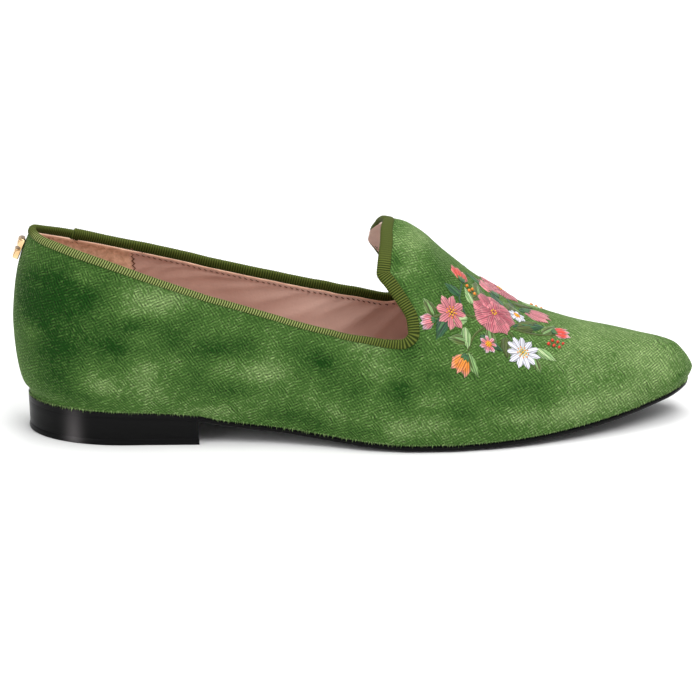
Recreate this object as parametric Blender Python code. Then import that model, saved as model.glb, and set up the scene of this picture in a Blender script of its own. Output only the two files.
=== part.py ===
"""A woman's velvet smoking slipper, the right shoe, built piece by piece round one last.

X runs from heel to toe, -Y is the outer side of the foot, +Z is up and the floor is Z = 0.
"""

import math

import bmesh
import bpy
from mathutils import Matrix, Vector

MM = 0.001

# Sizes of the last
LAST_LENGTH = 259.2 * MM  # heel seat to toe tip along the edge of the sole
BALL_WIDTH = 84 * MM  # across the sole's edge at the ball
BACK_HEIGHT = 64 * MM  # sole edge to topline at the back of the heel
INSTEP_HEIGHT = 81 * MM  # sole edge to the top of the tab
HEEL_HEIGHT = 11.6 * MM  # floor to the underside of the sole at the back
TOE_SPRING = 11 * MM  # floor to the underside of the sole at the toe tip
EDGE_LIFT = 0.6 * MM  # how far the sole's edge curls up beside its flat middle
BACK_BULGE = 5.7 * MM  # how far the counter stands behind the heel seat
TOE_SLOPE = 15 * MM  # how far the toe's crest lies behind its tip
HEEL_ROUND = 0.15  # share of the length in which the heel's outline rounds
TOE_ROUND = 0.036  # share of the length in which the toe tip rounds
HEEL_SQUARENESS = 2.0  # 2 gives a heel outline that is a half ellipse
TOE_SQUARENESS = 2.0
CREST_ROUNDNESS = 2.0  # 2 gives a round ridge, less gives a peaked one
BELLY_AT = 0.3  # share of the height at which the wall bulges most
FLAT_TREAD = 0.4  # share of the half-width in which the sole is flat

# Sizes of the pieces
SEAM_GAP = 0.3 * MM  # between faces that meet
UPPER_WALL = 1.4 * MM
SOLE_THICKNESS = 2.2 * MM
SOLE_EDGE_ROUND = 0.35 * MM
INSOLE_THICKNESS = 2.8 * MM
RIBBON_THICKNESS = 0.45 * MM
RIBBON_OUTSIDE = 4.3 * MM  # widest the ribbon shows on the velvet
RIBBON_INSIDE = 2.6 * MM
HEEL_LENGTH = 65.6 * MM  # heel seat to breast
BREAST_HOLLOW = 1.5 * MM
HEEL_TAPER = 0.4 * MM
TOP_PIECE_THICKNESS = 2.4 * MM
TOP_PIECE_PROUD = 0.3 * MM
STUD_HEIGHT = 8.4 * MM
STUD_WIDTH = 6 * MM
STUD_THICKNESS = 2.6 * MM
STUD_BELOW_TOPLINE = 4.9 * MM

# Middle of the whole slipper, from the back of the counter and from the heel's middle line
CENTRE_X = 133.33 * MM
CENTRE_Y = -0.59 * MM

# The last, a row for each section from heel (0) to toe (1).
# axis, half and ridge are shares of BALL_WIDTH: the middle and the half-width at the sole's
# edge, and the sideways place of the crest, where plus is the inner side. back and instep are
# shares of BACK_HEIGHT and INSTEP_HEIGHT that add up to the crest's height. belly is how much
# wider the wall is above the sole's edge, and square is 2 for a round wall and more for a steep one.
LAST_COLUMNS = ("at", "axis", "half", "back", "instep", "ridge", "belly", "square")
LAST_ROWS = (
    (0.00, 0.000, 0.333, 1.333, 0.000, 0.000, 0.10, 2.2),
    (0.08, 0.000, 0.333, 1.340, 0.000, 0.000, 0.10, 2.2),
    (0.16, 0.000, 0.333, 1.350, 0.000, 0.000, 0.10, 2.2),
    (0.26, -0.007, 0.334, 1.330, 0.020, 0.000, 0.10, 2.2),
    (0.36, -0.040, 0.318, 1.000, 0.280, 0.000, 0.10, 2.2),
    (0.44, -0.070, 0.342, 0.500, 0.670, 0.000, 0.09, 2.2),
    (0.50, -0.082, 0.392, 0.000, 0.975, 0.004, 0.07, 2.1),
    (0.56, -0.062, 0.446, 0.000, 0.961, 0.010, 0.05, 2.0),
    (0.60, -0.040, 0.473, 0.000, 0.899, 0.018, 0.04, 2.0),
    (0.64, -0.020, 0.489, 0.000, 0.788, 0.026, 0.03, 2.0),
    (0.68, -0.002, 0.491, 0.000, 0.676, 0.034, 0.03, 2.0),
    (0.72, 0.010, 0.479, 0.000, 0.588, 0.042, 0.03, 2.0),
    (0.76, 0.020, 0.454, 0.000, 0.504, 0.048, 0.03, 2.0),
    (0.80, 0.027, 0.418, 0.000, 0.440, 0.054, 0.03, 2.0),
    (0.85, 0.032, 0.358, 0.000, 0.374, 0.060, 0.04, 2.0),
    (0.90, 0.037, 0.282, 0.000, 0.320, 0.066, 0.05, 2.0),
    (0.95, 0.048, 0.192, 0.000, 0.256, 0.072, 0.06, 2.0),
    (1.00, 0.077, 0.110, 0.000, 0.190, 0.077, 0.07, 2.0),
)

# The sole's underside: heel and spring are shares of HEEL_HEIGHT and TOE_SPRING.
TREAD_COLUMNS = ("at", "heel", "spring")
TREAD_ROWS = (
    (0.00, 1.000, 0.00),
    (0.10, 0.980, 0.00),
    (0.20, 0.900, 0.00),
    (0.25, 0.820, 0.00),
    (0.29, 0.640, 0.00),
    (0.34, 0.490, 0.00),
    (0.40, 0.340, 0.00),
    (0.46, 0.170, 0.00),
    (0.52, 0.060, 0.00),
    (0.57, 0.000, 0.00),
    (0.64, 0.000, 0.00),
    (0.70, 0.000, 0.04),
    (0.76, 0.000, 0.12),
    (0.82, 0.000, 0.26),
    (0.88, 0.000, 0.45),
    (0.94, 0.000, 0.70),
    (1.00, 0.000, 1.00),
)

# The two ends in side view: up is a share of the section's height, in a share of
# BACK_BULGE or TOE_SLOPE by which the wall lies inside its furthest point.
END_COLUMNS = ("up", "in")
BACK_ROWS = (
    (0.00, 1.00),
    (0.06, 0.62),
    (0.14, 0.31),
    (0.25, 0.09),
    (0.36, 0.00),
    (0.48, 0.12),
    (0.58, 0.33),
    (0.67, 0.69),
    (0.78, 1.37),
    (1.00, 2.90),
)
TOE_ROWS = (
    (0.00, 0.13),
    (0.30, 0.00),
    (0.47, 0.07),
    (0.72, 0.25),
    (0.91, 0.45),
    (1.00, 0.80),
)

# The edge of the opening on the outer and the inner side. foot is where a rib of the upper
# leaves the sole, at is the section where it ends, turn how far round that section it climbs
# (0 sole, 1 crest), and band the ribbon's width there as a share of RIBBON_OUTSIDE.
EDGE_COLUMNS = ("foot", "at", "turn", "band")
OUTER_EDGE = (
    (0.000, 0.000, 0.552, 0.56),
    (0.020, 0.020, 0.532, 0.56),
    (0.040, 0.040, 0.518, 0.56),
    (0.070, 0.070, 0.496, 0.55),
    (0.100, 0.100, 0.474, 0.53),
    (0.130, 0.130, 0.450, 0.50),
    (0.160, 0.160, 0.426, 0.47),
    (0.190, 0.190, 0.403, 0.44),
    (0.220, 0.220, 0.382, 0.41),
    (0.260, 0.260, 0.358, 0.38),
    (0.300, 0.300, 0.345, 0.36),
    (0.340, 0.340, 0.329, 0.34),
    (0.380, 0.380, 0.312, 0.33),
    (0.410, 0.410, 0.300, 0.32),
    (0.440, 0.440, 0.296, 0.32),
    (0.470, 0.470, 0.310, 0.34),
    (0.500, 0.497, 0.326, 0.42),
    (0.530, 0.530, 0.332, 0.52),
    (0.550, 0.552, 0.339, 0.62),
    (0.565, 0.566, 0.348, 0.74),
    (0.590, 0.575, 0.380, 0.82),
    (0.620, 0.573, 0.424, 0.84),
    (0.660, 0.558, 0.483, 0.88),
    (0.690, 0.540, 0.537, 0.94),
    (0.710, 0.524, 0.590, 1.00),
    (0.735, 0.525, 0.685, 0.97),
    (0.758, 0.529, 0.787, 0.92),
    (0.774, 0.534, 0.880, 0.86),
    (0.785, 0.541, 1.000, 0.80),
)
INNER_EDGE = (
    (0.000, 0.000, 0.552, 0.56),
    (0.020, 0.020, 0.520, 0.56),
    (0.040, 0.040, 0.497, 0.56),
    (0.070, 0.070, 0.469, 0.55),
    (0.100, 0.100, 0.445, 0.53),
    (0.130, 0.130, 0.423, 0.50),
    (0.160, 0.160, 0.405, 0.47),
    (0.190, 0.190, 0.390, 0.44),
    (0.220, 0.220, 0.375, 0.41),
    (0.260, 0.260, 0.359, 0.38),
    (0.300, 0.300, 0.353, 0.36),
    (0.340, 0.340, 0.345, 0.34),
    (0.380, 0.380, 0.334, 0.33),
    (0.410, 0.410, 0.323, 0.32),
    (0.440, 0.440, 0.318, 0.32),
    (0.470, 0.470, 0.331, 0.34),
    (0.500, 0.497, 0.341, 0.42),
    (0.530, 0.530, 0.333, 0.52),
    (0.550, 0.551, 0.329, 0.62),
    (0.565, 0.567, 0.336, 0.74),
    (0.590, 0.574, 0.374, 0.82),
    (0.620, 0.568, 0.428, 0.84),
    (0.660, 0.548, 0.495, 0.88),
    (0.690, 0.531, 0.557, 0.94),
    (0.710, 0.519, 0.613, 1.00),
    (0.735, 0.519, 0.678, 0.97),
    (0.758, 0.526, 0.779, 0.92),
    (0.774, 0.534, 0.873, 0.86),
    (0.785, 0.541, 1.000, 0.80),
)

# How many ribs the upper has on each side between these feet, and the places of the rows up them
RIB_SPANS = ((0.15, 0.46, 12), (0.46, 0.58, 10), (0.58, 0.785, 17), (0.785, 0.964, 11))
HEEL_RIBS = 7
TOE_RIBS = 6
ROW_PLACES = (0, 0.07, 0.15, 0.24, 0.34, 0.44, 0.54, 0.64, 0.73, 0.81, 0.88, 0.94, 1)
RIB_LEAN = 2  # 1 gives straight ribs, more keeps them upright near the sole


def smooth(rows, columns):
    """One function for each column after the first: a smooth curve through the rows, with no overshoot."""
    places = [row[0] for row in rows]

    def curve(values):
        steps = [
            (values[i + 1] - values[i]) / (places[i + 1] - places[i])
            for i in range(len(rows) - 1)
        ]
        slopes = [steps[0]]
        for before, after in zip(steps, steps[1:]):
            level = before * after <= 0
            slopes.append(0 if level else 2 * before * after / (before + after))
        slopes.append(steps[-1])

        def at(place):
            place = min(max(place, places[0]), places[-1])
            i = max(k for k in range(len(rows) - 1) if places[k] <= place)
            span = places[i + 1] - places[i]
            t = (place - places[i]) / span
            return (
                values[i] * (1 + 2 * t) * (1 - t) ** 2
                + values[i + 1] * t * t * (3 - 2 * t)
                + slopes[i] * span * t * (1 - t) ** 2
                + slopes[i + 1] * span * t * t * (t - 1)
            )

        return at

    return {
        name: curve([row[k] for row in rows])
        for k, name in enumerate(columns)
        if k
    }


LAST = smooth(LAST_ROWS, LAST_COLUMNS)
TREAD = smooth(TREAD_ROWS, TREAD_COLUMNS)
BACK_CURVE = smooth(BACK_ROWS, END_COLUMNS)["in"]
TOE_CURVE = smooth(TOE_ROWS, END_COLUMNS)["in"]
OUTER, INNER = -1, 1
EDGES = {OUTER: smooth(OUTER_EDGE, EDGE_COLUMNS), INNER: smooth(INNER_EDGE, EDGE_COLUMNS)}
TAB_FOOT = OUTER_EDGE[-1][0]
TAB_AT = OUTER_EDGE[-1][1]


def rounding(at):
    """0 at both ends of the outline and 1 between them, so that heel and toe are round."""
    share = 1.0
    if at < HEEL_ROUND:
        share *= (1 - (1 - at / HEEL_ROUND) ** HEEL_SQUARENESS) ** (1 / HEEL_SQUARENESS)
    if at > 1 - TOE_ROUND:
        near = (1 - at) / TOE_ROUND
        share *= max(0, 1 - (1 - near) ** TOE_SQUARENESS) ** (1 / TOE_SQUARENESS)
    return share


def tread_height(at, across):
    """Height of the sole's underside, where across runs from -1 at one edge to 1 at the other."""
    beside = max(0, abs(across) - FLAT_TREAD) / (1 - FLAT_TREAD)
    middle = HEEL_HEIGHT * TREAD["heel"](at) + TOE_SPRING * TREAD["spring"](at)
    forepart = 1 - TREAD["heel"](at)
    return middle + EDGE_LIFT * forepart * rounding(at) * beside**2


def feather_height(at):
    """Height of the upper's lower edge, just above the edge of the sole."""
    return tread_height(at, 1) + SOLE_THICKNESS + SEAM_GAP


def last_point(at, turn, side):
    """A point of the upper's outer face. Past an end or the crest it goes on down the other side."""
    if at < 0:
        at, side = -at, -side
    if at > 1:
        at, side = 2 - at, -side
    if turn > 1:
        turn, side = 2 - turn, -side
    angle = turn * math.pi / 2
    rise = max(0, math.sin(angle)) ** (2 / LAST["square"](at))
    run = max(0, math.cos(angle)) ** (2 / CREST_ROUNDNESS)
    crest = BACK_HEIGHT * LAST["back"](at) + INSTEP_HEIGHT * LAST["instep"](at)
    back_x = BACK_BULGE * BACK_CURVE(rise)
    toe_x = BACK_BULGE + LAST_LENGTH + TOE_SLOPE * (TOE_CURVE(0) - TOE_CURVE(rise))
    bulge = 1 + LAST["belly"](at) * rise / BELLY_AT * math.exp(1 - rise / BELLY_AT)
    half = BALL_WIDTH * LAST["half"](at) * rounding(at)
    middle = BALL_WIDTH * (LAST["axis"](at) * (1 - rise) + LAST["ridge"](at) * rise)
    return Vector(
        (
            back_x + (toe_x - back_x) * at - CENTRE_X,
            middle + side * half * run * bulge - CENTRE_Y,
            feather_height(at) + crest * rise,
        )
    )


def last_normal(at, turn, side, step=1e-3):
    """The way out of the upper at last_point."""
    along = last_point(at + step, turn, side) - last_point(at - step, turn, side)
    up = last_point(at, turn + step, side) - last_point(at, max(0, turn - step), side)
    return (along.cross(up) * -side).normalized()


def slide(at, turn, side, way, far):
    """The point of the last that lies far away along its surface in the direction way."""
    step = 1e-3
    along = (last_point(at + step, turn, side) - last_point(at - step, turn, side)) / (2 * step)
    up = (last_point(at, turn + step, side) - last_point(at, turn - step, side)) / (2 * step)
    aa, bb, ab = along.dot(along), up.dot(up), along.dot(up)
    a, b = along.dot(way) * far, up.dot(way) * far
    scale = aa * bb - ab * ab
    at, turn = at + (a * bb - b * ab) / scale, turn + (b * aa - a * ab) / scale
    return last_point(at, turn, side), last_normal(at, turn, side)


def feet():
    """Where the ribs leave the sole, from heel to toe, closer where the outline turns."""
    quarter = math.pi / 2
    found = [HEEL_ROUND * (1 - math.cos(quarter * i / HEEL_RIBS)) for i in range(HEEL_RIBS)]
    for low, high, count in RIB_SPANS:
        found += [low + (high - low) * i / count for i in range(count)]
    found += [1 - TOE_ROUND * (1 - math.sin(quarter * i / TOE_RIBS)) for i in range(TOE_RIBS + 1)]
    return found


def rib_end(foot, side):
    """Section and turn where a rib ends: on the opening's edge, or on the crest in front of it."""
    if foot <= TAB_FOOT:
        return EDGES[side]["at"](foot), EDGES[side]["turn"](foot)
    share = (foot - TAB_FOOT) / (1 - TAB_FOOT)
    return TAB_AT + (1 - TAB_AT) * share, 1.0


def rib_point(foot, up, side):
    """A point of the upper, up of the way along the rib that starts at foot."""
    at, turn = rib_end(foot, side)
    return last_point(foot + (at - foot) * up**RIB_LEAN, turn * up, side)


def new_object(name, mesh_maker, material):
    """An object whose mesh is filled in by mesh_maker, with doubles merged and faces outwards."""
    made = bmesh.new()
    mesh_maker(made)
    bmesh.ops.remove_doubles(made, verts=made.verts, dist=0.01 * MM)
    bmesh.ops.recalc_face_normals(made, faces=made.faces)
    mesh = bpy.data.meshes.new(name)
    made.to_mesh(mesh)
    made.free()
    mesh.shade_smooth()
    mesh.set_sharp_from_angle(angle=math.radians(40))
    mesh.materials.append(material)
    obj = bpy.data.objects.new(name, mesh)
    bpy.data.collections[COLLECTION].objects.link(obj)
    return obj


def bridge(made, rows, closed=False):
    """Faces between rows of vertices that have as many vertices each."""
    count = len(rows[0])
    last = count if closed else count - 1
    for lower, upper in zip(rows, rows[1:]):
        for k in range(last):
            n = (k + 1) % count
            corners = [lower[k], lower[n], upper[n], upper[k]]
            made.faces.new(corners)


def wall_point(foot, up, side, depth):
    """A point of the upper's wall, depth inside its outer face."""
    at, turn = rib_end(foot, side)
    at = foot + (at - foot) * up**RIB_LEAN
    return last_point(at, turn * up, side) - last_normal(at, turn * up, side) * depth


def fill_upper(made):
    """The upper's wall: an outer and an inner face of ribs, from the sole up to the opening
    and the crest, joined along the opening and along the sole."""
    places = feet()
    rim = [foot for foot in places if foot <= TAB_FOOT + 1e-6]
    for side in (OUTER, INNER):
        faces = [
            [
                [made.verts.new(wall_point(foot, up, side, depth)) for foot in places]
                for up in ROW_PLACES
            ]
            for depth in (0, UPPER_WALL)
        ]
        for rows in faces:
            bridge(made, rows)
        outer, inner = faces
        bridge(made, [outer[0], inner[0]])
        bridge(made, [outer[-1][: len(rim)], inner[-1][: len(rim)]])


def outline_point(at, side, inset):
    """The edge of the sole in plan, moved inwards by inset."""
    here = last_point(at, 0, side)
    step = 1e-3
    along = last_point(at + step, 0, side) - last_point(at - step, 0, side)
    inwards = Vector((along.y, -along.x, 0)) * side
    return here + inwards.normalized() * inset


def plate(made, stations, across, inset, top, bottom, taper, edge_round=0, shape=None):
    """A plate with the sole's outline. top and bottom give heights from a station and a place
    across it; taper is how much further in the bottom's edge lies, and edge_round how far the
    middle of the edge stands out; shape moves a finished point."""

    def layer(height, inwards):
        rows = []
        for at in stations:
            left = outline_point(at, OUTER, inset + inwards)
            right = outline_point(at, INNER, inset + inwards)
            row = []
            for share in across:
                point = left.lerp(right, (share + 1) / 2)
                point.z = height(at, share)
                row.append(made.verts.new(shape(point, at, share) if shape else point))
            rows.append(row)
        return rows

    def middle(at, share):
        return (top(at, share) + bottom(at, share)) / 2

    upper_rows = layer(top, 0)
    lower_rows = layer(bottom, taper)
    bridge(made, upper_rows)
    bridge(made, lower_rows)
    ends = [upper_rows, lower_rows]
    if edge_round:
        ends.insert(1, layer(middle, -edge_round))
    for above, below in zip(ends, ends[1:]):
        for k in (0, -1):
            bridge(made, [[row[k] for row in above], [row[k] for row in below]])
        bridge(made, [above[-1], below[-1]])
    if edge_round:
        spare = [v for row in ends[1] for v in row[1:-1] if not v.link_faces]
        bmesh.ops.delete(made, geom=spare, context="VERTS")


def fill_outsole(made):
    plate(
        made,
        feet(),
        (-1, -0.75, -FLAT_TREAD, 0, FLAT_TREAD, 0.75, 1),
        inset=0,
        top=lambda at, share: tread_height(at, share) + SOLE_THICKNESS,
        bottom=tread_height,
        taper=SOLE_EDGE_ROUND,
        edge_round=SOLE_EDGE_ROUND,
    )


def fill_insole(made):
    plate(
        made,
        feet(),
        (-1, -FLAT_TREAD, FLAT_TREAD, 1),
        inset=UPPER_WALL + 2 * SEAM_GAP,
        top=lambda at, share: tread_height(at, share) + SOLE_THICKNESS + SEAM_GAP + INSOLE_THICKNESS,
        bottom=lambda at, share: tread_height(at, share) + SOLE_THICKNESS + SEAM_GAP,
        taper=0,
    )


def heel_stations():
    """Sections of the heel, from its back to its breast."""
    breast = HEEL_LENGTH / LAST_LENGTH
    return [foot for foot in feet() if foot < breast - 0.01] + [breast]


def hollow_breast(point, at, share):
    """Draws the middle of the heel's front face back."""
    if at == heel_stations()[-1]:
        point.x -= BREAST_HOLLOW * (1 - share * share)
    return point


def fill_heel_block(made):
    plate(
        made,
        heel_stations(),
        (-1, -0.6, 0, 0.6, 1),
        inset=0,
        top=lambda at, share: tread_height(at, share) - SEAM_GAP,
        bottom=lambda at, share: TOP_PIECE_THICKNESS + SEAM_GAP,
        taper=HEEL_TAPER,
        shape=hollow_breast,
    )


def fill_top_piece(made):
    def proud_breast(point, at, share):
        point = hollow_breast(point, at, share)
        if at == heel_stations()[-1]:
            point.x += TOP_PIECE_PROUD
        return point

    plate(
        made,
        heel_stations(),
        (-1, -0.6, 0, 0.6, 1),
        inset=HEEL_TAPER - TOP_PIECE_PROUD / 2,
        top=lambda at, share: TOP_PIECE_THICKNESS,
        bottom=lambda at, share: 0,
        taper=0,
        shape=proud_breast,
    )


def edge_stations():
    """Foot and side of each rib that ends at the opening, once round it from the back."""
    reach = [foot for foot in feet() if foot <= TAB_FOOT + 1e-6]
    return [(foot, OUTER) for foot in reach] + [(foot, INNER) for foot in reach[-2:0:-1]]


def fill_binding(made):
    """The ribbon: a channel folded over the edge of the opening, all the way round."""
    stations = edge_stations()
    edge = [rib_point(foot, 1, side) for foot, side in stations]
    skin = SEAM_GAP + RIBBON_THICKNESS
    rings = []
    for i, (foot, side) in enumerate(stations):
        at, turn = rib_end(foot, side)
        along = (edge[(i + 1) % len(edge)] - edge[i - 1]).normalized()
        out = last_normal(at, turn, side)
        into = along.cross(out).normalized()
        wide = RIBBON_OUTSIDE * EDGES[side]["band"](foot)
        tip, tip_out = slide(at, turn, side, into, wide)
        middle, middle_out = slide(at, turn, side, into, wide / 2)
        inner_tip, inner_out = slide(at, turn, side, into, RIBBON_INSIDE)
        here = edge[i]
        back = UPPER_WALL + skin
        ring = [
            tip + tip_out * SEAM_GAP,
            tip + tip_out * skin,
            middle + middle_out * skin,
            here + out * skin,
            here + out * (skin * 0.4) - into * skin,
            here - out * (back - skin * 0.6) - into * skin,
            here - out * back,
            inner_tip - inner_out * back,
            inner_tip - inner_out * (UPPER_WALL + SEAM_GAP),
            here - out * (UPPER_WALL + SEAM_GAP) - into * SEAM_GAP,
            here + out * SEAM_GAP - into * SEAM_GAP,
            middle + middle_out * SEAM_GAP,
        ]
        rings.append([made.verts.new(point) for point in ring])
    bridge(made, rings + rings[:1], closed=True)


def finish(name, red, green, blue, roughness, metallic=0.0):
    """A plain material."""
    material = bpy.data.materials.new(name)
    material.use_nodes = True
    shader = material.node_tree.nodes["Principled BSDF"]
    shader.inputs["Base Color"].default_value = (red, green, blue, 1)
    shader.inputs["Roughness"].default_value = roughness
    shader.inputs["Metallic"].default_value = metallic
    return material


def make_stud(material):
    """The stud at the back: a bar with a step across it, seen from the side as two blocks."""
    long, thick = STUD_HEIGHT / 2, STUD_THICKNESS
    outline = (
        (-long, 0),
        (-long, thick * 0.9),
        (-long * 0.1, thick * 0.9),
        (0, thick * 0.6),
        (long * 0.12, thick * 0.6),
        (long * 0.25, thick),
        (long * 0.85, thick),
        (long, thick * 0.75),
        (long, 0),
    )
    curve = bpy.data.curves.new("heel_stud", "CURVE")
    curve.dimensions = "2D"
    curve.fill_mode = "BOTH"
    curve.extrude = STUD_WIDTH / 2
    spline = curve.splines.new("POLY")
    spline.points.add(len(outline) - 1)
    for point, (along, out) in zip(spline.points, outline):
        point.co = (along, out, 0, 1)
    spline.use_cyclic_u = True
    stud = bpy.data.objects.new("heel_stud", curve)
    bpy.data.collections[COLLECTION].objects.link(stud)
    curve.materials.append(material)
    at, turn = rib_end(0, OUTER)
    up = (last_point(at, turn, OUTER) - last_point(at, turn - 0.1, OUTER)).normalized()
    out = Vector((0, 1, 0)).cross(up) * -1
    centre, _ = slide(at, turn, OUTER, -up, STUD_BELOW_TOPLINE + STUD_HEIGHT / 2)
    stud.matrix_world = frame_of(up, out, centre + out * SEAM_GAP)


def frame_of(x_axis, y_axis, origin):
    """A placement from two directions and a point."""
    z_axis = x_axis.cross(y_axis)
    columns = Matrix((x_axis, y_axis, z_axis)).transposed().to_4x4()
    columns.translation = origin
    return columns


COLLECTION = "velvet_slipper"


def build():
    for obj in list(bpy.data.objects):
        bpy.data.objects.remove(obj)
    bpy.context.scene.collection.children.link(bpy.data.collections.new(COLLECTION))
    velvet = finish("velvet", 0.07, 0.15, 0.035, 0.9)
    ribbon = finish("ribbon", 0.09, 0.12, 0.025, 0.8)
    leather = finish("lining_leather", 0.45, 0.24, 0.18, 0.55)
    black = finish("black_sole", 0.02, 0.02, 0.02, 0.45)
    gold = finish("gold", 0.8, 0.58, 0.3, 0.2, 1.0)
    new_object("upper", fill_upper, velvet)
    new_object("outsole", fill_outsole, black)
    new_object("insole", fill_insole, leather)
    new_object("heel_block", fill_heel_block, black)
    new_object("heel_top_piece", fill_top_piece, black)
    new_object("topline_binding", fill_binding, ribbon)
    make_stud(gold)


build()
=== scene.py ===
# %% [markdown]
# # Dressing a velvet slipper
# The frame brings in the plain solids of one right shoe: upper, ribbon, insole, sole, heel and
# a small bar at the back. This script gives each of them its finish. Most pieces of a shoe are
# stretched over one wooden form, the last, so the lesson starts by describing that form once,
# and then lays velvet, leather, ribbon and thread on it.

# %% Load the frame
import math

import bpy
import numpy as np
from mathutils import Matrix, Vector
from mathutils.bvhtree import BVHTree


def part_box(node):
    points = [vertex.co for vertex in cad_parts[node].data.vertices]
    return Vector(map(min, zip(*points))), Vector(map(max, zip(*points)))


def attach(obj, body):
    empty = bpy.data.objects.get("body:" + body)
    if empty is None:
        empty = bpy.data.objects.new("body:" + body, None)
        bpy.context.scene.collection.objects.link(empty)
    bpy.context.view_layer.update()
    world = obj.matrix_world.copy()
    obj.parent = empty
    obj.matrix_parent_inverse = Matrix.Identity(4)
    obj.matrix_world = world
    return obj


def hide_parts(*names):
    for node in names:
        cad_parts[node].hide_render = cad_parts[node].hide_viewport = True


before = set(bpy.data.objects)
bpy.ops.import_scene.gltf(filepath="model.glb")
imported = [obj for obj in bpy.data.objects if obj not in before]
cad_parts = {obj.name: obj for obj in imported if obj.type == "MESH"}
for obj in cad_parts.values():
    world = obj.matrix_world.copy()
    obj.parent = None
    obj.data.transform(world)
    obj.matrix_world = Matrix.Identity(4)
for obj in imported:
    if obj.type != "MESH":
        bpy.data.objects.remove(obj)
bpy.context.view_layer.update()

MM = 0.001
bpy.ops.object.select_all(action="DESELECT")
print("solids of the frame:", sorted(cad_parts))

# %% [markdown]
# ## The last
# A shoemaker measures a last by its length, the width at the ball, the height of the instep and
# of the back. Every section between heel and toe is written as shares of those sizes, so the
# table stays short and the whole form follows when one size changes.

# %% Sizes and sections of the last
LAST_LENGTH = 259.2 * MM
BALL_WIDTH = 84 * MM
BACK_HEIGHT = 64 * MM
INSTEP_HEIGHT = 81 * MM
HEEL_HEIGHT = 11.6 * MM
TOE_SPRING = 11 * MM
EDGE_LIFT = 0.6 * MM
BACK_BULGE = 5.7 * MM
TOE_SLOPE = 15 * MM
HEEL_ROUND = 0.15
TOE_ROUND = 0.036
BELLY_AT = 0.3
FLAT_TREAD = 0.4
SOLE_THICKNESS = 2.2 * MM
UPPER_WALL = 1.4 * MM
SEAM_GAP = 0.3 * MM
CENTRE_X = 133.33 * MM
CENTRE_Y = -0.59 * MM

LAST_ROWS = (  # at, axis, half, back, instep, ridge, belly, square
    (0.00, 0.000, 0.333, 1.333, 0.000, 0.000, 0.10, 2.2),
    (0.08, 0.000, 0.333, 1.340, 0.000, 0.000, 0.10, 2.2),
    (0.16, 0.000, 0.333, 1.350, 0.000, 0.000, 0.10, 2.2),
    (0.26, -0.007, 0.334, 1.330, 0.020, 0.000, 0.10, 2.2),
    (0.36, -0.040, 0.318, 1.000, 0.280, 0.000, 0.10, 2.2),
    (0.44, -0.070, 0.342, 0.500, 0.670, 0.000, 0.09, 2.2),
    (0.50, -0.082, 0.392, 0.000, 0.975, 0.004, 0.07, 2.1),
    (0.56, -0.062, 0.446, 0.000, 0.961, 0.010, 0.05, 2.0),
    (0.60, -0.040, 0.473, 0.000, 0.899, 0.018, 0.04, 2.0),
    (0.64, -0.020, 0.489, 0.000, 0.788, 0.026, 0.03, 2.0),
    (0.68, -0.002, 0.491, 0.000, 0.676, 0.034, 0.03, 2.0),
    (0.72, 0.010, 0.479, 0.000, 0.588, 0.042, 0.03, 2.0),
    (0.76, 0.020, 0.454, 0.000, 0.504, 0.048, 0.03, 2.0),
    (0.80, 0.027, 0.418, 0.000, 0.440, 0.054, 0.03, 2.0),
    (0.85, 0.032, 0.358, 0.000, 0.374, 0.060, 0.04, 2.0),
    (0.90, 0.037, 0.282, 0.000, 0.320, 0.066, 0.05, 2.0),
    (0.95, 0.048, 0.192, 0.000, 0.256, 0.072, 0.06, 2.0),
    (1.00, 0.077, 0.110, 0.000, 0.190, 0.077, 0.07, 2.0),
)
TREAD_ROWS = (  # at, heel, spring
    (0.00, 1.000, 0.00),
    (0.10, 0.980, 0.00),
    (0.20, 0.900, 0.00),
    (0.25, 0.820, 0.00),
    (0.29, 0.640, 0.00),
    (0.34, 0.490, 0.00),
    (0.40, 0.340, 0.00),
    (0.46, 0.170, 0.00),
    (0.52, 0.060, 0.00),
    (0.57, 0.000, 0.00),
    (0.64, 0.000, 0.00),
    (0.70, 0.000, 0.04),
    (0.76, 0.000, 0.12),
    (0.82, 0.000, 0.26),
    (0.88, 0.000, 0.45),
    (0.94, 0.000, 0.70),
    (1.00, 0.000, 1.00),
)
BACK_ROWS = (
    (0.00, 1.00),
    (0.06, 0.62),
    (0.14, 0.31),
    (0.25, 0.09),
    (0.36, 0.00),
    (0.48, 0.12),
    (0.58, 0.33),
    (0.67, 0.69),
    (0.78, 1.37),
    (1.00, 2.90),
)
TOE_ROWS = ((0.00, 0.13), (0.30, 0.00), (0.47, 0.07), (0.72, 0.25), (0.91, 0.45), (1.00, 0.80))
print(len(LAST_ROWS), "sections of the last,", len(TREAD_ROWS), "heights of its underside")

# %% [markdown]
# A smooth curve through a column of the table must not swing past its rows, or the shoe would
# get bumps that nobody drew. Slopes taken as the harmonic mean of the steps on both sides do that.

# %% Curves through the tables
def curve(places, values):
    """A smooth curve through the values that never overshoots them."""
    places, values = np.array(places, float), np.array(values, float)
    steps = np.diff(values) / np.diff(places)
    before, after = steps[:-1], steps[1:]
    level = before * after <= 0
    middle = np.where(level, 0, 2 * before * after / np.where(level, 1, before + after))
    slopes = np.concatenate([steps[:1], middle, steps[-1:]])

    def at(place):
        place = np.clip(place, places[0], places[-1])
        i = np.clip(np.searchsorted(places, place, side="right") - 1, 0, len(places) - 2)
        span = places[i + 1] - places[i]
        t = (place - places[i]) / span
        return (
            values[i] * (1 + 2 * t) * (1 - t) ** 2
            + values[i + 1] * t * t * (3 - 2 * t)
            + slopes[i] * span * t * (1 - t) ** 2
            + slopes[i + 1] * span * t * t * (t - 1)
        )

    return at


def ease(value, start, end):
    """0 before start, 1 after end and smooth between."""
    t = np.clip((value - start) / (end - start), 0, 1)
    return t * t * (3 - 2 * t)


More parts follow.
